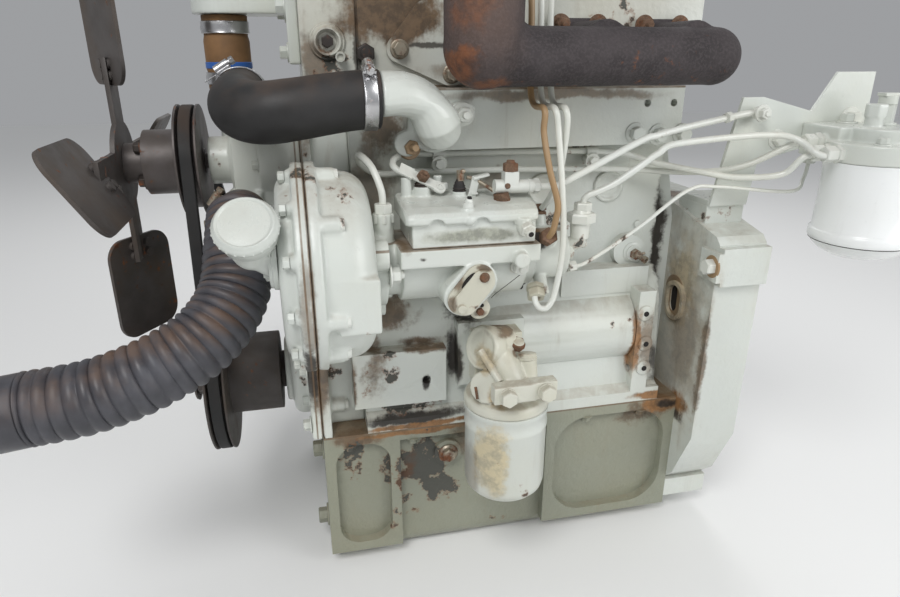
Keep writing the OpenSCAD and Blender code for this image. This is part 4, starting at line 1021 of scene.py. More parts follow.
def fan_and_pulleys():
    rivets = Shape()
    for at in around((-705, *FAN), 34, range(20, 380, 60)):
        rivets.screw(at, FRONT, 4.5, 2.6)
    rivets.bolt((-717, *FAN), FRONT, 15, False, 3)
    piece("fan_hub_rivets", rivets, rusty_steel, "fan_blades", 0.2)
    hub = Shape().bolts(around((-678.2, *FAN), 26, range(45, 405, 90)), FRONT, 11)
    piece("fan_pulley_bolts", hub, dark_steel, "fan_pulley", 0.3)
    nut = Shape().disc((-658, 0, 0), FRONT, 30, 3, 29).disc((-661, 0, 0), FRONT, 12, 4, 11)
    nut.bolts(around((-640, 0, 0), 60, (45, 165, 285)), FRONT)
    piece("crank_pulley_bolts", nut, dark_steel, "crank_pulley", 0.4)
    end = Shape().disc((-650, *DYNAMO), FRONT, 6.5, 7, 5.5)
    piece("dynamo_shaft_end", end, union_steel, "dynamo_rotor", 0.3)


def filler_cap():
    axis = Vector((-2, -20, 20)).normalized()
    seat = Vector((-558, -246, 250))
    cap = Shape().turned(
        seat, axis,
        [(20.3, -9.2), (24.2, -9.2), (25, -8.4), (25, 1.5), (26.6, 2.6), (28, 4.4), (28.2, 6.5),
         (28, 8.6), (26.6, 10.6), (25.6, 11.8), (25.0, 13.6), (24.0, 14.2), (22.6, 13.6),
         (21.6, 12.6), (12, 13.2), (0, 13.6), (0, 0.6), (20.3, 0.6), (20.3, -9.2)],
        72,
    )
    side = axis.orthogonal().normalized()
    other = axis.cross(side)
    for degrees in range(0, 360, 15):
        a = math.radians(degrees)
        out = side * math.cos(a) + other * math.sin(a)
        cap.ball(seat + out * 27.4 + axis * 6.5, 1.5)
    piece("oil_cap_skin", cap, clean_paint, "oil_cap", 0, 45, ("oil_cap",))
    rim = [(18, 0), (25, 0), (25.5, 1), (25.5, 4), (24.5, 5), (18, 5), (18, 0)]
    foot = Shape().turned((-536, -222, 214), FRONT, rim, 56)
    foot.bolts([(-541, -238, 232), (-541, -206, 197)], FRONT, 11, stud=2)
    piece("oil_filler_foot", foot, clean_paint, "oil_filler", 0.3)


# Injection pump group
def cover_layer(shape, section, ends):
    """A section of Y and Z carried from front to rear; each end is a station and an inset."""
    left, width, rear_skew, middle, brow = -224, 86, 13, -350, 246
    rings = []
    for x, inset in ends:
        ring = []
        for y, z in section:
            share = (y - left) / width
            skew = share * rear_skew if x > middle else 0
            drop = inset * 0.6 if z > brow else 0
            place = (x + skew, y + inset * (1 - 2 * share), z - drop)
            ring.append(shape.form.verts.new(place))
        rings.append(ring)
    for a, b in zip(rings, rings[1:]):
        for k in range(len(a)):
            m = (k + 1) % len(a)
            shape.form.faces.new((a[k], b[k], b[m], a[m]))
    shape.form.faces.new(rings[0])
    shape.form.faces.new(reversed(rings[-1]))
    bmesh.ops.recalc_face_normals(shape.form, faces=shape.form.faces)


def governor_cover():
    """The pump's cover: a low wall, and a rounded top with its lip notched over two screws."""
    wall, top = Shape(), Shape()
    foot = [(-219.5, 216.2), (-219.5, 243), (-142, 246), (-142, 216.2)]
    cover_layer(wall, foot, [(-412, 0), (-290, 0)])
    crown = [
        (-215, 238.6), (-222.5, 239.2), (-225, 241), (-225, 246), (-221, 250.5), (-208, 253.6),
        (-150, 258), (-142, 255), (-138.5, 248), (-140, 239),
    ]
    ends = [(-418, 5), (-416, 1.6), (-411, 0), (-293, 0), (-289, 1.6), (-287, 5)]
    cover_layer(top, crown, ends)
    notches = Shape()
    for x in (-389, -345):
        notches.disc((x, -219.5, 237), LEFT, 8.2, 14)
    carved(top, notches)
    top.form.from_mesh(meshed(wall.form, "wall"))
    for x, y, r, low, high in (
        (-357, -214, 7, 240, 253.5), (-303, -220, 9, 236, 243), (-392, -165, 9, 254, 266),
        (-354.5, -170, 7.6, 254, 261), (-408, -165, 5.6, 250, 276), (-373, -152, 4.8, 252, 274),
    ):
        top.disc((x, y, low), UP, r, high - low, r * 0.95)
    top.ball((-357, -220, 243), 6.5)
    top.disc((-302, -214, 236), (0.05, -0.93, -0.3), 8.6, 16, 8)
    founded(
        "governor_cover_skin", top, pump_paint, "governor_cover", 0.95, 4, 0.4, ("governor_cover",),
    )


def pump_screws():
    screws = Shape().disc((-356.6, -214, 253), (0, -0.05, 1), 5.4, 5, 5)
    screws.ball((-356, -214.5, 258.6), 4.2)
    screws.hexagon((-301.6, -229, 233), (0.05, -0.93, -0.3), 13.5, 6)
    screws.disc((-301.2, -234.5, 231.4), (0.05, -0.93, -0.3), 4.8, 5, 4.2)
    screws.disc((-301, -209, 190), (0.05, -0.96, -0.2), 9.6, 2, 9)
    screws.hexagon((-301, -211, 189.6), (0.05, -0.96, -0.2), 14, 7)
    screws.disc((-300.6, -217.5, 188.4), (0.05, -0.96, -0.2), 4, 3, 3.4)
    screws.hexagon((-434.6, -186, 245.8), UP, 16, 9)
    screws.hexagon((-434.6, -186, 236.6), UP, 19, 9)
    screws.bolts(around((-434, *TIMING), 46, (60, 180, 300)), REAR, 14, stud=4)
    piece("pump_screws", screws, pipe_paint, "injection_pump", 0.35)

    # Painted shade: near-black discs in a screw's socket and a fitting's end stand for their depths;
    # with them go a black bolt under the pump and a thin dark line.
    dark = Shape().disc((-355.6, -215, 261.6), (0, -0.05, 1), 2.6, 2.2, 2, 16)
    dark.disc((-301, -239.3, 229.8), (0.05, -0.93, -0.3), 2.6, 0.8, sides=16)
    dark.bolt((-287, -168, 157.5), DOWN, 10)
    dark.drawn(
        [(-302, -214, 181), (-315, -213, 171), (-326, -212.6, 163), (-331, -212, 158)],
        0.35, 8, 2,
    )
    piece("pump_dark_screws", dark, hole_shade_and_dark_marks, "injection_pump", 0.2)


def pump_linkage():
    arm = Shape()
    tilt = Vector((0.30, -0.62, 0.72)).normalized()
    way = Vector((0.88, -0.10, -0.46)).normalized()
    pivot = Vector((-393, -167, 273))
    arm.slab(pivot + way * 1, tilt, (38, 11, 2.4), along=way)
    arm.disc(pivot + way * 19, tilt, 7.4, 2.4)
    arm.slab(pivot - way * 17, tilt, (15, 14, 2.4), along=way)
    arm.turned(
        pivot + way * 20, tilt,
        [(2.4, -0.2), (3.8, -0.2), (3.8, 3.4), (2.4, 3.4), (2.4, -0.2)],
        24,
    )
    arm.hexagon((-368, -162, 262), UP, 6, 6)
    piece("speed_lever", arm, pipe_paint, "pump_levers", 0.5, 38, ("pump_levers",))
    washer = Shape().knob(
        (-392, -165, 265.6), UP,
        [(7.4, 0), (8, 0.8), (6.8, 1.8), (7.8, 2.8), (6.4, 4), (5, 6.4)],
        30,
    )
    piece("lever_washer", washer, smooth_rubber, "pump_levers", 0, 70)
    nut = Shape().hexagon(pivot + tilt * 2.4, tilt, 11, 6.5)
    nut.disc(pivot + tilt * 8, tilt, 3, 3, 2.6, 16)
    nut.hexagon((-307.5, -190, 282), UP, 13.6, 8)
    nut.disc((-307.5, -190, 289.4), UP, 4.6, 3.4, 3.8, 16)
    nut.disc((-316, -193, 252.5), (-0.2, 0, 1), 8.4, 9, 7.6)
    nut.disc((-312, -196.4, 268.6), (0, -1, 0.25), 3.2, 0.9, 2.8, 12)
    piece("lever_nuts", nut, rusty_steel, "pump_levers", 0.4)

    boot = Shape().knob(
        (-354.5, -170, 259.6), UP,
        [(6.6, 0), (7, 1.2), (5.8, 2.4), (6.8, 3.6), (5.6, 5), (6.2, 6.2), (4.8, 8), (5, 9),
         (3.8, 11), (3.4, 12.4)],
        36,
    )
    piece("stop_boot", boot, smooth_rubber, "pump_levers", 0, 70)
    clevis = Shape()
    for y in (-173, -167):
        clevis.slab((-353.6, y, 271), UP, (6, 2, 10), along=REAR)
    clevis.disc((-353.6, -176, 277.5), RIGHT, 2, 12, sides=16)
    clevis.ball((-352, -175.6, 281), 2.6)
    clevis.drawn(
        [(-348, -174, 275), (-341, -175, 273), (-334, -178, 269.5), (-321, -185, 261)],
        2.1, 6, 3,
    )
    piece("stop_clevis", clevis, union_steel, "pump_levers", 0.3)
    stop = Shape().slab((-343.6, -177, 255), (0.22, 0, 0.97), (8, 2.6, 21), along=(1, 0, 0.1))
    stop.slab((-334, -177, 274.4), (-0.2, 0, 1), (17, 7.4, 2.8), along=(1, 0, 0.22))
    stop.slab((-341, -177, 258), UP, (7, 7, 2), along=REAR)
    piece("stop_lever", stop, pipe_paint, "pump_levers", 0.5)

    rod = Shape().slab((-307.5, -190, 268), UP, (14.5, 13, 14), along=REAR)
    rod.disc((-324, -190, 267.4), (1, 0, -0.03), 6.9, 42, 6.5, 36)
    rod.hexagon((-283, -190, 266), REAR, 13.4, 6)
    rod.disc((-289, -190, 266.2), REAR, 7.3, 4)
    rod.slab((-320.5, -198, 247.6), (0.1, -0.3, 1), (10, 8, 6), along=REAR)
    rod.drawn(
        [(-279, -190, 265.4), (-262, -190, 265.6), (-246, -189.6, 270), (-168, -185, 306),
         (-148, -183.6, 311.4), (-108, -178, 319), (-34, -163.2, 329), (-14, -161.2, 330)],
        3.6, 10, 6,
    )
    rod.hexagon((-60, -170, 326.2), (0.92, 0.35, 0.1), 10, 8)
    rod.ball((-14, -161.2, 330), 7)
    rod.disc((-14, -156, 330), LEFT, 5, 12, sides=24)
    rod.bolt((-14, -167.5, 330), LEFT, 11, stud=2)
    piece("throttle_rod_skin", rod, pipe_paint, "throttle_rod", 0.4, 45, ("throttle_rod",))


def side_plate():
    turn = math.radians(51)
    way = Vector((math.cos(turn), 0, math.sin(turn)))
    centre = Vector((-356, -226, 174))
    pad = Shape()
    hull(pad, [(centre - way * 13, 15.4), (centre + way * 13, 15.4)], LEFT, 2)
    piece("timing_window_pad", pad, plate_paint, "pump_side_plate", 0.6, 38, ("pump_side_plate",))
    plate = Shape()
    inner = centre + Vector((2.4, -1.6, -2.2))
    hull(plate, [(inner - way * 13.6, 12.4), (inner + way * 13.6, 12.4)], LEFT, 3)
    plate.disc(inner - way * 20 + Vector((0, -2.6, 0)), LEFT, 5, 3, 4.2, 20)
    plate.knob((-345.4, -212, 151), LEFT, [(11, 0), (11, 9), (10, 10.4)], 40)
    piece("timing_window_plate", plate, plate_paint, "pump_side_plate", 0.5)
    marks = Shape().drawn(
        [(-365.6, -228.3, 177), (-361.4, -228.5, 183.4), (-355, -228.5, 189.4),
         (-347, -228.5, 192.4)],
        lambda s: 0.6 + 1.5 * math.sin(math.pi * s), 8, 2,
    )
    marks.drawn([(-364, -229.4, 159.4), (-356, -229.4, 170), (-346.5, -229.4, 181.6)], 0.45, 8, 2)
    marks.disc((-343.4, -222, 155), LEFT, 2, 1, sides=12)
    piece("timing_window_marks", marks, hole_shade_and_dark_marks, "pump_side_plate", 0)
    screws = Shape().screw((-343.6, -229.6, 187), LEFT, 5.2, 4)
    screws.bolt((-345.6, -222, 149), LEFT, 7, False)
    piece("timing_window_screws", screws, rusty_steel, "pump_side_plate", 0.2)


# Each injector's station with its riser's, then the low end of each line, from the front
PIPE_TOPS = [(-375, -275), (-258, -264), (-141, -253)]
PIPE_LINES = [
    [(-271, -207, 216), (-269, -213, 224), (-267, -215, 236), (-265.5, -214, 253),
     (-272, -205, 284), (-275, -192, 318)],
    [(-283, -207, 157), (-283, -214, 149), (-279, -218, 144.4), (-271, -218, 146),
     (-263.4, -216, 162), (-257.6, -215, 208), (-260, -212, 260), (-261, -195, 318)],
    [(-261, -160, 236), (-257, -172, 250), (-253, -184, 276), (-251, -191, 318)],
]


def injector_pipes():
    """Three pipes off the pump's outlets: one brown with rust, two still white."""
    unions = Shape()
    for (x, riser), low, finish, name in zip(
        PIPE_TOPS, PIPE_LINES, (rusty_pipe, pipe_paint, pipe_paint), ("front", "middle", "rear")
    ):
        pipe = Shape()
        line = low + [
            (riser, -190, 340), (riser, -150, 352), (riser, -138, 450),
            (riser + 0.12 * (x - riser), -132, 476),
            (x, -111, 504), (x, -95, 496), (x, -95, 476),
        ]
        pipe.drawn(line, 3.2, 10, 6)
        piece("injector_pipe_" + name, pipe, finish, "injector_pipes", 0, 50, ("injector_pipes",))
        unions.hexagon((x, -95, 475), UP, 15, 12)
    piece("injector_unions", unions, union_steel, "injector_pipes", 0.4)
    outlets = Shape()
    for at, way in (((-269, -198, 213), (-0.06, -0.8, 0.45)), ((-262, -154, 226), (0, 0.3, 0.9))):
        outlets.hexagon(at, way, 15, 5)
        outlets.hexagon(Vector(at) + Vector(way) * 6, way, 16, 7)
    piece("pump_outlet_unions", outlets, rusty_steel, "injector_pipes", 0.4)
    low = Shape()
    outlet, way = Vector((-279, -197, 162)), Vector((-0.1, -0.75, -0.62))
    low.hexagon(outlet, way, 17, 5)
    low.disc(outlet + way * 5, way, 7.4, 2)
    low.hexagon(outlet + way * 6.5, way, 17, 9)
    piece("pump_low_union", low, plate_paint, "injector_pipes", 0.5)


def low_pressure_pipes():
    line = Shape().drawn(
        [(-402, -164, 277), (-410, -163, 279.4), (-416, -160, 282.4), (-419, -153, 286.6),
         (-415, -141, 291), (-400, -122, 292.4), (-376, -112, 290.6), (-176, -112, 287),
         (-120, -140, 276), (-76, -165, 268),
         (-40, -178, 263), (0, -196, 268), (15, -206, 287), (36.4, -206, 291)], 3.5, 14, 6,
    )
    line.drawn(
        [(-220.5, -176, 240), (-220, -176, 247), (-216, -178, 251.6), (-206, -180, 255.4),
         (-190, -184, 264), (-167, -189, 281), (-148, -190, 294), (-122, -190, 304),
         (-6, -192, 309), (19, -222, 292), (36.4, -222, 292)], 3.5, 12, 6,
    )
    line.drawn(
        [(-239.5, -188, 177), (-222, -188, 179), (-194, -188, 194), (-154, -185, 218),
         (-101, -180, 252),
         (-60, -175, 253), (28, -180, 245), (56, -165, 256), (62, -162, 282.4)], 2.1, 12, 5,
    )
    line.disc((-240.5, -168, 190), REAR, 11, 12)
    line.drawn(
        [(-238, -168, 196), (-229, -172, 198), (-223.6, -175.6, 204), (-222.4, -176, 216)],
        8.4, 8, 8,
    )
    line.disc((-226, -172, 199), (1, -0.1, -0.12), 6.6, 13, 4.4)
    line.disc((-222.4, -176, 206), UP, 10, 17, 11)
    line.hexagon((-222.2, -176, 223), UP, 27, 10)
    line.disc((-221.6, -176, 232.6), UP, 10.6, 3.4, 8.4)
    line.hexagon((-221, -176, 235.6), UP, 16.5, 8)
    for y, z in ((-206, 291), (-222, 292)):
        line.hexagon((37, y, z), FRONT, 15, 12)
        line.hexagon((45, y, z), FRONT, 17, 6)
    line.hexagon((62, -162, 282), DOWN, 12, 9)
    line.hexagon((-238, -188, 177.2), (1, 0, 0.1), 10, 8)
    piece("fuel_pipes_skin", line, pipe_paint, "fuel_pipes", 0.3, 45, ("fuel_pipes",))

    feed = Shape().drawn(
        [(-434.6, -186, 252), (-435.6, -184, 268), (-442.6, -170, 288), (-451.6, -146, 296),
         (-448.6, -124, 284),
         (-427, -112, 271), (-373, -112, 272), (-174, -112, 267), (-76, -150, 266),
         (-27, -168, 274),
         (13, -190, 299), (36.4, -190, 301)], 3.5, 12, 6,
    )
    feed.hexagon((37, -190, 301), FRONT, 15, 12)
    feed.hexagon((45, -190, 301), FRONT, 17, 6)
    piece("feed_pipe_skin", feed, pipe_paint, "oil_pipe", 0.3, 45, ("oil_pipe",))

    clips = Shape()
    for x, z in ((-363, 290.4), (-186, 287.4)):
        clips.turned(
            (x - 7, -112, z), REAR,
            [(3.7, 0), (5.2, 0), (5.2, 14), (3.7, 14), (3.7, 0)],
            28,
        )
        clips.slab((x - 1, -116.6, z - 9), LEFT, (13, 13, 1.8), along=(1, 0, 0.1))
        clips.bolt((x - 1, -118.4, z - 10), LEFT, 10)
        clips.disc((x - 1, -100, z - 10), LEFT, 5, 17)
    piece("pipe_clips", clips, pipe_paint, "fuel_pipes", 0.3)


# Left side of the block and the head
def block_fittings():
    heads = Shape().bolts([(-86, -130, 306), (-144, -130, 308), (-116, -130, 306)], LEFT, 14)
    tapped = [(-118, 98), (-114, 58), (-113, 25)]
    for x, z in tapped:
        heads.knob((x, -149.5, z), LEFT, [(10, 0), (9.4, 2.4), (6, 3.4)], 30)
    heads.knob((-113, -100.5, 196), LEFT, [(4.6, 0), (4.6, 1.4), (3.6, 2)], 24)
    piece("block_bolts", heads, block_paint, "engine_block", 0.4)
    # Painted shade: thin near-black discs that stand for the tapped holes' depths.
    holes = Shape()
    for x, z in tapped:
        holes.disc((x, -153, z), LEFT, 3.4, 0.3, sides=20)
    piece("block_tapped_hole_shade", holes, hole_shade_and_dark_marks, "engine_block", 0)

    plugs = Shape()
    dished = [(11, 0.8), (13.4, 1.2), (14.6, 3.0), (17, 3.6), (18.6, 2.6), (19, 0)]
    for x in (-238, -156):
        plugs.knob((x, -99.5, 244), LEFT, dished, 56)
    plugs.knob(
        (-474, -104.5, 402), LEFT,
        [(8.5, 1), (10, 5), (11.5, 8), (13, 8), (14, 5), (15.6, 3.4), (16.6, 3.6),
         (17.6, 2.6), (17.6, 0)],
        56,
    )
    stub = [(4.8, 0), (4.8, 14), (3.2, 14), (3.2, 12)]
    plugs.knob((-461.4, -104.5, 389), (-0.1, -1, -0.1), stub, 30)
    piece("core_plugs_skin", plugs, head_paint, "core_plugs", 0, 50, ("core_plugs",))
    sender = Shape().bolt((-474, -106, 402), LEFT, 11, False)
    sender.hexagon((-437, -105, 391), LEFT, 17, 9).disc((-437, -114, 391), LEFT, 5, 2)
    piece("head_fittings", sender, dark_steel, "cylinder_head", 0.3)

    cover = Shape()
    lobes = [(-402.8, 395, 13), (-348.8, 371, 12.5), (-346, 424, 24), (-372, 424, 18)]
    hull(cover, [((x, -104.5, z), r) for x, z, r in lobes], LEFT, 6)
    piece("side_cover_skin", cover, head_paint, "side_cover", 0.8, 38, ("side_cover",))
    cover_bolts = Shape()
    for x, z, _ in lobes[:2]:
        cover_bolts.knob((x, -110.5, z), LEFT, [(9.4, 0), (9.8, 1), (8.6, 2)], 36)
        cover_bolts.bolt((x, -112.4, z), LEFT, 13, False)
    piece("side_cover_bolts", cover_bolts, union_steel, "side_cover", 0.4)

    studs = Shape()
    for x, z, dx in product((-308, -212, -116), (381, 419), (-21, 21)):
        studs.bolt((x + dx, -115, z), LEFT, stud=6)
    studs.bolts([(-336, -232, 480), (-336, -140, 480)], UP, 15, stud=9)
    piece("manifold_nuts", studs, rusty_steel, "exhaust_manifold", 0.35)

    ears = Shape().bolt((-344, -142, 333), LEFT, 14, stud=6)
    piece("water_elbow_nut", ears, pipe_paint, "water_elbow", 0.4)
    stud = Shape()
    lean = (0.15, -1, 0.1)
    stud.knob((-399, -131, 300), lean, [(12, 0), (12.6, 2), (11, 4)], 36)
    stud.bolt((-398.6, -135, 300.4), lean, 14, stud=11)
    piece("water_elbow_stud", stud, rusty_pipe, "water_elbow", 0.4)


def drain_tap():
    step = [(12.6, 0), (12.6, 1.6), (10.6, 2.4), (9.6, 3), (9.6, 4.6)]
    boss = Shape().knob((-122, -111.5, 164), LEFT, step, 48)
    piece("drain_boss", boss, block_paint, "engine_block", 0)
    way = Vector((0.45, -0.85, -0.28)).normalized()
    at = Vector((-121, -116, 163))
    tap = Shape().hexagon(at, LEFT, 12, 5)
    tap.knob(
        at + Vector((0, -4, 0)), way,
        [(4.6, 0), (5, 3), (3.4, 5), (3.4, 9), (4.4, 11), (4.4, 15), (2.4, 15), (2.4, 12)],
        28,
    )
    handle = [at + way * 8 + Vector(off) for off in ((-7, 0, 5), (0, 0, 3.6), (6, 0, 4.4))]
    tap.drawn(handle, 1.7, 6, 4)
    piece("drain_tap_skin", tap, union_steel, "drain_tap", 0.3, 50, ("drain_tap",))


def sump_fittings():
    heads = Shape().bolts(product([-508.2], (-100, 100), (-165, -65)), FRONT, 17)
    heads.bolts(product(range(-478, -107, 74), (-143.5, 143.5), [-36]), DOWN, 11)
    piece("sump_bolts", heads, sump_paint, "sump", 0.4)
    plug = Shape()
    for side in (-1, 1):
        plug.knob((-360.5, side * 144, -66), (0, side, 0), [(12, 0), (12, 2), (10, 4)], 40)
        plug.hexagon((-360.5, side * 147.5, -66), (0, side, 0), 15, 5)
    plug.bolt((-300, 0, -205), DOWN, 24)
    piece("sump_plugs", plug, union_steel, "sump", 0.4)


def housing_fittings():
    heads = Shape().bolts([(-66, -191, 166), (-66, 191, 166)], FRONT, 16, False)
    for y, z in ((150, 205), (92, 214), (168, -20), (140, -92)):
        heads.bolt((-60, y, z), FRONT, 15)
    heads.bolts([(-30, -136, 232), (-30, 108, 226), (-30, 136, 226)], UP)
    piece("housing_bolts", heads, pipe_paint, "flywheel_housing", 0.4)
    rings = Shape()
    for y in (-191, 191):
        rings.disc((-64.6, y, 166), FRONT, 13.6, 2, 12.8)
    outer, inner, depth = Shape(), Shape(), Shape()
    hull(outer, [((-59.6, -116, 112), 19), ((-59.6, -116, 90), 19)], FRONT, 1.6)
    hull(inner, [((-50, -116, 110), 8.4), ((-50, -116, 92), 8.4)], FRONT, 20)
    carved(outer, inner)
    piece("timing_sight_ring", outer, sight_paint, "flywheel_housing", 0.8)
    piece("lug_washers", rings, rusty_pipe, "flywheel_housing", 0.3)
    # Painted shade: a thin near-black plate that stands for the sight hole's depth.
    hull(depth, [((-57.5, -117, 110), 15.5), ((-57.5, -117, 92), 15.5)], FRONT, 0.4)
    piece("timing_sight_hole_shade", depth, hole_shade_and_dark_marks, "flywheel_housing", 0)
    bracket = Shape().bolt((20, -154, 300), LEFT).bolt((112.6, -154, 320.6), LEFT, 16)
    piece("bracket_bolts", bracket, pipe_paint, "control_bracket", 0.4)


# Filters
def fuel_filter():
    top = Shape().bolt((95, -170, 318), UP, 13)
    top.hexagon((118, -196, 318), UP, 17, 22)
    top.disc((118, -196, 318), UP, 12.5, 2.4)
    top.disc((118, -196, 339.6), UP, 9.4, 9)
    top.slab((118, -196, 348), UP, (20, 12, 3.4), along=REAR)
    top.knob((81, -220, 316), UP, [(13, 0), (13, 2), (9, 3.5), (8, 7)], 36)
    for x, y in ((118, -238), (72, -246)):
        top.bolt((x, y, 303), UP, 10)
    piece("fuel_filter_bolts", top, clean_paint, "fuel_filter_head", 0.35)
    bowl = Shape().turned(
        (*FUEL_BOWL, 177), UP,
        [(0, 0), (18, 0.4), (31, 3.4), (41, 8.6), (47, 14), (50.2, 19), (51.6, 20), (52.4, 21.4),
         (52.2, 29.6), (51, 31), (49.8, 32.4),
         (49.2, 60), (49.4, 94), (50.6, 102), (51.4, 105.9), (0, 105.9)],
        80,
    )
    piece("fuel_bowl_skin", bowl, white_paint, "fuel_filter_bowl", 0, 40, ("fuel_filter_bowl",))
    seam = Shape().ring((*FUEL_BOWL, 196.4), UP, 50.9, 0.55, 80, 8)
    piece("fuel_bowl_seam", seam, hole_shade_and_dark_marks, "fuel_filter_bowl", 0)


def oil_filter():
    side = Vector((-0.86, -0.40, 0.32)).normalized()
    cap = Vector((-335, -200, 98))
    wall = (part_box("oil_filter_head")[1] / MM).y
    head = Shape().knob(
        cap - side * 12, side,
        [(23, 0), (24, 1), (24, 14), (22.6, 16), (19.4, 16), (18.6, 14.4)],
        56,
    )
    head.drawn([(-333, -198, 97), (-316, -192, 97), (-303, -188, 96)], lambda s: 23 - 5 * s, 8, 8)
    head.drawn(
        [(-322, -198, 90), (-314, -212, 76), (-307, -224, 58), (-305, -226, 48)],
        lambda s: 20 - 6 * s, 8, 8,
    )
    head.drawn([(-311, -158, 78), (-312, -190, 88)], 25, 6, 8)
    head.block((-337, -174, 38), (-282, wall, 100))
    head.knob(
        (*OIL_CAN, 33.9), UP,
        [(46, 0), (46.6, 1.4), (46.4, 8), (44, 12), (30, 17), (20, 24)],
        64,
    )
    head.block((-340, -262, 62), (-296, -247, 81))
    head.block((-300, -261, 63), (-273, -247, 82))
    head.drawn([(-330, -250, 70), (-312, -232, 62)], 9, 4, 6)
    head.drawn([(-284, -250, 72), (-298, -228, 62)], 8, 4, 6)
    head.disc((-289, -219, 52), (0.02, 0.25, 0.97), 11, 34, 10)
    head.knob(
        (-336, -224, 64), (-0.66, -0.70, 0.28),
        [(17, 0), (17.4, 1), (17, 8), (16, 9)],
        48,
    )
    founded(
        "oil_filter_head_skin", head, cream_paint, "oil_filter_head", 1.2, 5, 0.4,
        ("oil_filter_head",),
    )
    parts = Shape().drawn([(-342.6, -216, 102.4), (-335, -229, 89), (-328.6, -241, 77)], 3.8, 8, 6)
    parts.knob(
        (-289, -211, 84), (0.02, 0.25, 0.97),
        [(10.6, 0), (11, 1), (10.4, 2), (11, 3), (10.2, 4), (10.6, 5.4), (9.4, 7), (7, 7.6)],
        40,
    )
    for x, z in ((-326.5, 71), (-285.5, 72)):
        parts.disc((x, -261.4, z), LEFT, 9.4, 1.6, 9)
        parts.hexagon((x, -262.6, z), LEFT, 15.5, 8.6)
    parts.disc((-297.4, -206, 103.2), (0.02, -0.4, 0.9), 6.4, 1.2, 5.6, 24)
    piece("oil_filter_fittings", parts, cream_paint, "oil_filter_head", 0.5)
    dark = Shape().hexagon((-298, -202, 96), (0.02, -0.4, 0.9), 15, 8)
    dark.slab((-350, -232, 62), (-0.66, -0.70, 0.28), (13, 3, 1.4), along=(0.3, -0.1, -0.9))
    piece("oil_pressure_plug", dark, rusty_steel, "oil_filter_head", 0.4)
    can = Shape().knob(
        (*OIL_CAN, -80), UP,
        [(12, 0), (13, 1), (13, 5), (30, 5.4), (38, 8), (43, 13.6), (45, 21), (45, 88),
         (45.8, 90), (45.8, 94), (45, 96),
         (45, 106), (46.4, 108.6), (46.4, 113.4), (45.6, 113.9)],
        80,
    )
    can.bolt((*OIL_CAN, -80), DOWN, 19, False)
    piece("oil_can_skin", can, can_paint, "oil_filter_can", 0, 40, ("oil_filter_can",))


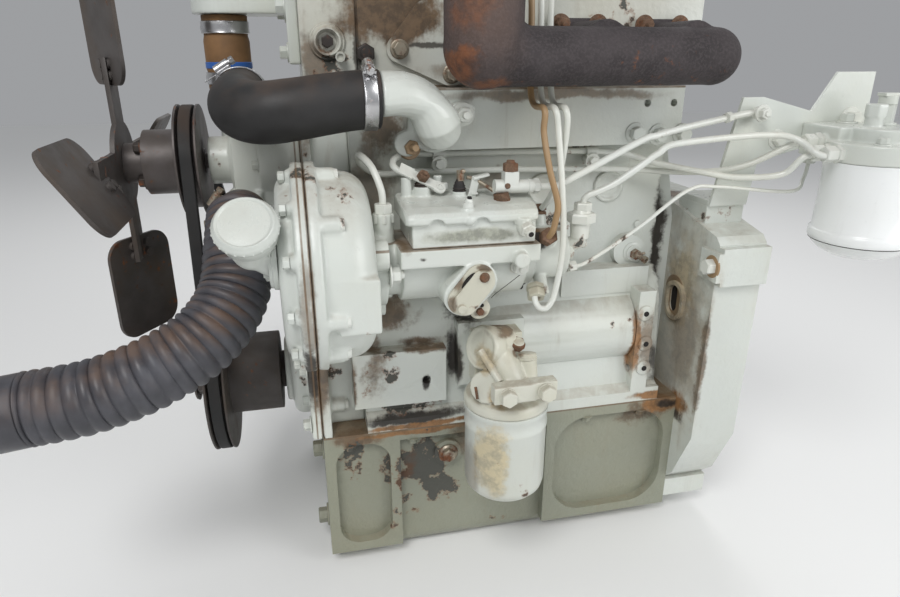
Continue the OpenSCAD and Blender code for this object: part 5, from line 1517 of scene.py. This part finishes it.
# Right side, hidden in the photograph: what such an engine has there
def right_side():
    dynamo = Shape()
    screwed = (40, 140, 260)
    for bolt_at, screw_at in zip(
        around((-400, *DYNAMO), 44, screwed), around((-596, *DYNAMO), 44, screwed)
    ):
        dynamo.bolt(bolt_at, REAR, 9, stud=2)
        dynamo.screw(screw_at, FRONT, 4.5)
    for x in (-424, -440):
        dynamo.disc((x, 214, 201.5), UP, 6, 5).bolt((x, 214, 206), UP, 8, stud=3)
    piece("dynamo_fittings", dynamo, dark_steel, "dynamo", 0.3)
    # Painted shade: thin near-black slabs that stand for the dynamo's vent slots.
    slots = Shape()
    for degrees in range(20, 380, 60):
        a = math.radians(degrees)
        out = Vector((0, math.cos(a), math.sin(a)))
        if -0.2 < out.z < 0.8:
            for x, length in ((-584, 12), (-404.6, 5)):
                slots.slab(Vector((x, *DYNAMO)) + out * 54.0, out, (length, 16, 0.4), along=REAR)
    piece("dynamo_slot_shade", slots, hole_shade_and_dark_marks, "dynamo", 0)

    starter = Shape().bolts(around((-300, *STARTER), 36, (60, 240)), FRONT, 10)
    starter.bolts([(-262.4, 180, 140), (-262.4, 196, 140)], FRONT, 11, stud=8)
    band = [(46, 0), (47.4, 1), (47.4, 27), (46, 28), (45, 28), (45, 0), (46, 0)]
    starter.turned((-276, *STARTER), REAR, band, 64)
    piece("starter_fittings", starter, dark_steel, "starter", 0.3)
    foot = Shape().bolts([(-70.2, 150, 100), (-70.2, 218, 28)], FRONT, 17, stud=4)
    piece("starter_bolts", foot, pipe_paint, "starter", 0.4)

    lift = Shape()
    for at in around((*LIFT, 224), 29, range(0, 360, 60), True):
        lift.screw(at, UP, 3.8, 3)
    lift.knob((*LIFT, 243), UP, [(16, 0), (17, 2), (14, 7), (6, 9)], 40)
    lift.bolt((*LIFT, 251), UP, 10, False)
    lift.drawn([(-318, 160, 178), (-328, 168, 168), (-334, 172, 164)], 3, 6, 4)
    lift.ball((-334, 172, 164), 5)
    for x, inward in ((-322, 1), (-278, -1)):
        lift.bolts([(x, 110, 178), (x, 110, 222)], RIGHT, 12, stud=3)
        lift.hexagon((x + 6 * inward, 150, 213), (-inward, 0, 0), 13, 9)
    piece("lift_pump_fittings", lift, die_cast, "lift_pump", 0.3)

    ports = Shape()
    for x, dx in product((-345, -258, -171), (-26, 26)):
        ports.bolt((x + dx, 115, 410), RIGHT, stud=5)
    piece("inlet_manifold_nuts", ports, pipe_paint, "inlet_manifold", 0.35)
    collar = Shape().ring((-258, 168, 455), UP, 23.6, 1.8)
    piece("inlet_collar", collar, clean_paint, "inlet_manifold")

    top = Shape()
    for x in (-360, -180):
        top.knob((x, 0, 550), UP, [(14, 0), (14, 1.6), (12, 2.6)], 36)
        top.knob((x, 0, 557), UP, [(10, 0), (10.6, 2), (8, 6), (3, 8)], 36)
    for x, dx in product(INJECTORS, (-17, 17)):
        top.bolt((x + dx, -95, 456), UP, 12, stud=5)
    piece("rocker_cover_nuts", top, clean_paint, "rocker_cover", 0.35)
    leak = Shape().drawn(
        [(-375, -84, 470), (-340, -82, 476), (-294, -82, 474), (-258, -84, 470),
         (-220, -82, 476), (-176, -82, 474), (-141, -84, 470)],
        2, 10, 4,
    )
    for x in INJECTORS:
        leak.knob((x, -84, 466), UP, [(5, 0), (5, 8)], 24)
        leak.block((x - 3, -90, 467), (x + 3, -84, 473))
    piece("leak_off_pipe", leak, union_steel, "injectors", 0.2)

    stick = Shape().disc((-215, 136, 132), UP, 7, 8, 5.4).disc((-215, 136, 266), UP, 6.4, 8, 6)
    piece("dipstick_collar", stick, union_steel, "dipstick", 0.3)
    vent = Shape().turned(
        (-440, 132, 432), UP,
        [(10, 0), (12.4, 0), (13, 1), (13, 9), (11, 12), (0, 13), (0, 8), (10, 8), (10, 0)],
        40,
    )
    vent.bolt((-440, 144.4, 232), RIGHT, 12)
    piece("breather_fittings", vent, clean_paint, "breather", 0.3)


def rear_face():
    bolts = Shape()
    for degrees in range(0, 360, 60):
        a = math.radians(degrees)
        bolts.bolt((-42, -36 * math.sin(a), 36 * math.cos(a)), REAR, 15)
    piece("flywheel_bolts", bolts, dark_steel, "flywheel", 0.4)
    clutch = Shape()
    rim = [(3.4, 0), (5.4, 0), (6, 0.8), (3.4, 0.8), (3.4, 0)]
    for x, y, z in around((-12.6, 0, 0), 130, range(30, 390, 60)):
        clutch.turned((x, y, z), REAR, rim, 24).disc((-12.4, y, z), REAR, 3.4, 0.5)
    piece("flywheel_tapped_holes", clutch, dark_steel, "flywheel", 0)


castings_and_pressings()
timing_bolts()
water_pump_bolts()
hoses()
ribbed_hose()
fan_and_pulleys()
filler_cap()
governor_cover()
pump_screws()
pump_linkage()
side_plate()
injector_pipes()
low_pressure_pipes()
block_fittings()
drain_tap()
sump_fittings()
housing_fittings()
fuel_filter()
oil_filter()
right_side()
rear_face()


# Stage, light and camera, in metres
def floor():
    form = bmesh.new()
    bmesh.ops.create_grid(form, x_segments=1, y_segments=1, size=6)
    bmesh.ops.translate(form, verts=form.verts, vec=(-0.3, 0, cad_low.z - 0.0005))
    ground = linked("floor", meshed(form, "floor"))
    ground.data.materials.append(plain("floor_paper", (0.84, 0.84, 0.83)))


def lamp(name, place, aim, size, watts):
    light = bpy.data.lights.new(name, "AREA")
    light.shape = "DISK"
    light.size = size
    light.energy = watts
    holder = linked(name, light)
    holder.location = place
    holder.rotation_euler = (Vector(aim) - Vector(place)).to_track_quat("-Z", "Y").to_euler()


floor()
lamp("key", (-1.3, -1.8, 2.2), (-0.3, 0, 0.15), 1.3, 42)
lamp("fill", (1.4, -1.6, 1.0), (-0.2, 0, 0.1), 1.6, 22)
lamp("back", (0.2, 1.9, 1.8), (-0.3, 0, 0.2), 1.8, 20)
world = bpy.data.worlds.new("studio")
scene.world = world
world.use_nodes = True
backdrop = world.node_tree.nodes["Background"]
backdrop.inputs[0].default_value = (0.95, 0.97, 1, 1)
seen = world.node_tree.nodes.new("ShaderNodeLightPath")
level = world.node_tree.nodes.new("ShaderNodeMapRange")
level.inputs["To Min"].default_value = 0.40
level.inputs["To Max"].default_value = 0.355
world.node_tree.links.new(seen.outputs["Is Camera Ray"], level.inputs["Value"])
world.node_tree.links.new(level.outputs[0], backdrop.inputs[1])

camera_data = bpy.data.cameras.new("camera")
camera_data.lens = 26
camera_data.sensor_width = 36
camera_data.clip_start = 0.02
camera = linked("camera", camera_data)
camera.location = (-0.511, -0.806, 0.389)
camera.rotation_euler = (math.radians(90 - 20.5), 0, math.radians(-13))
scene.camera = camera
scene.view_settings.view_transform = "Standard"
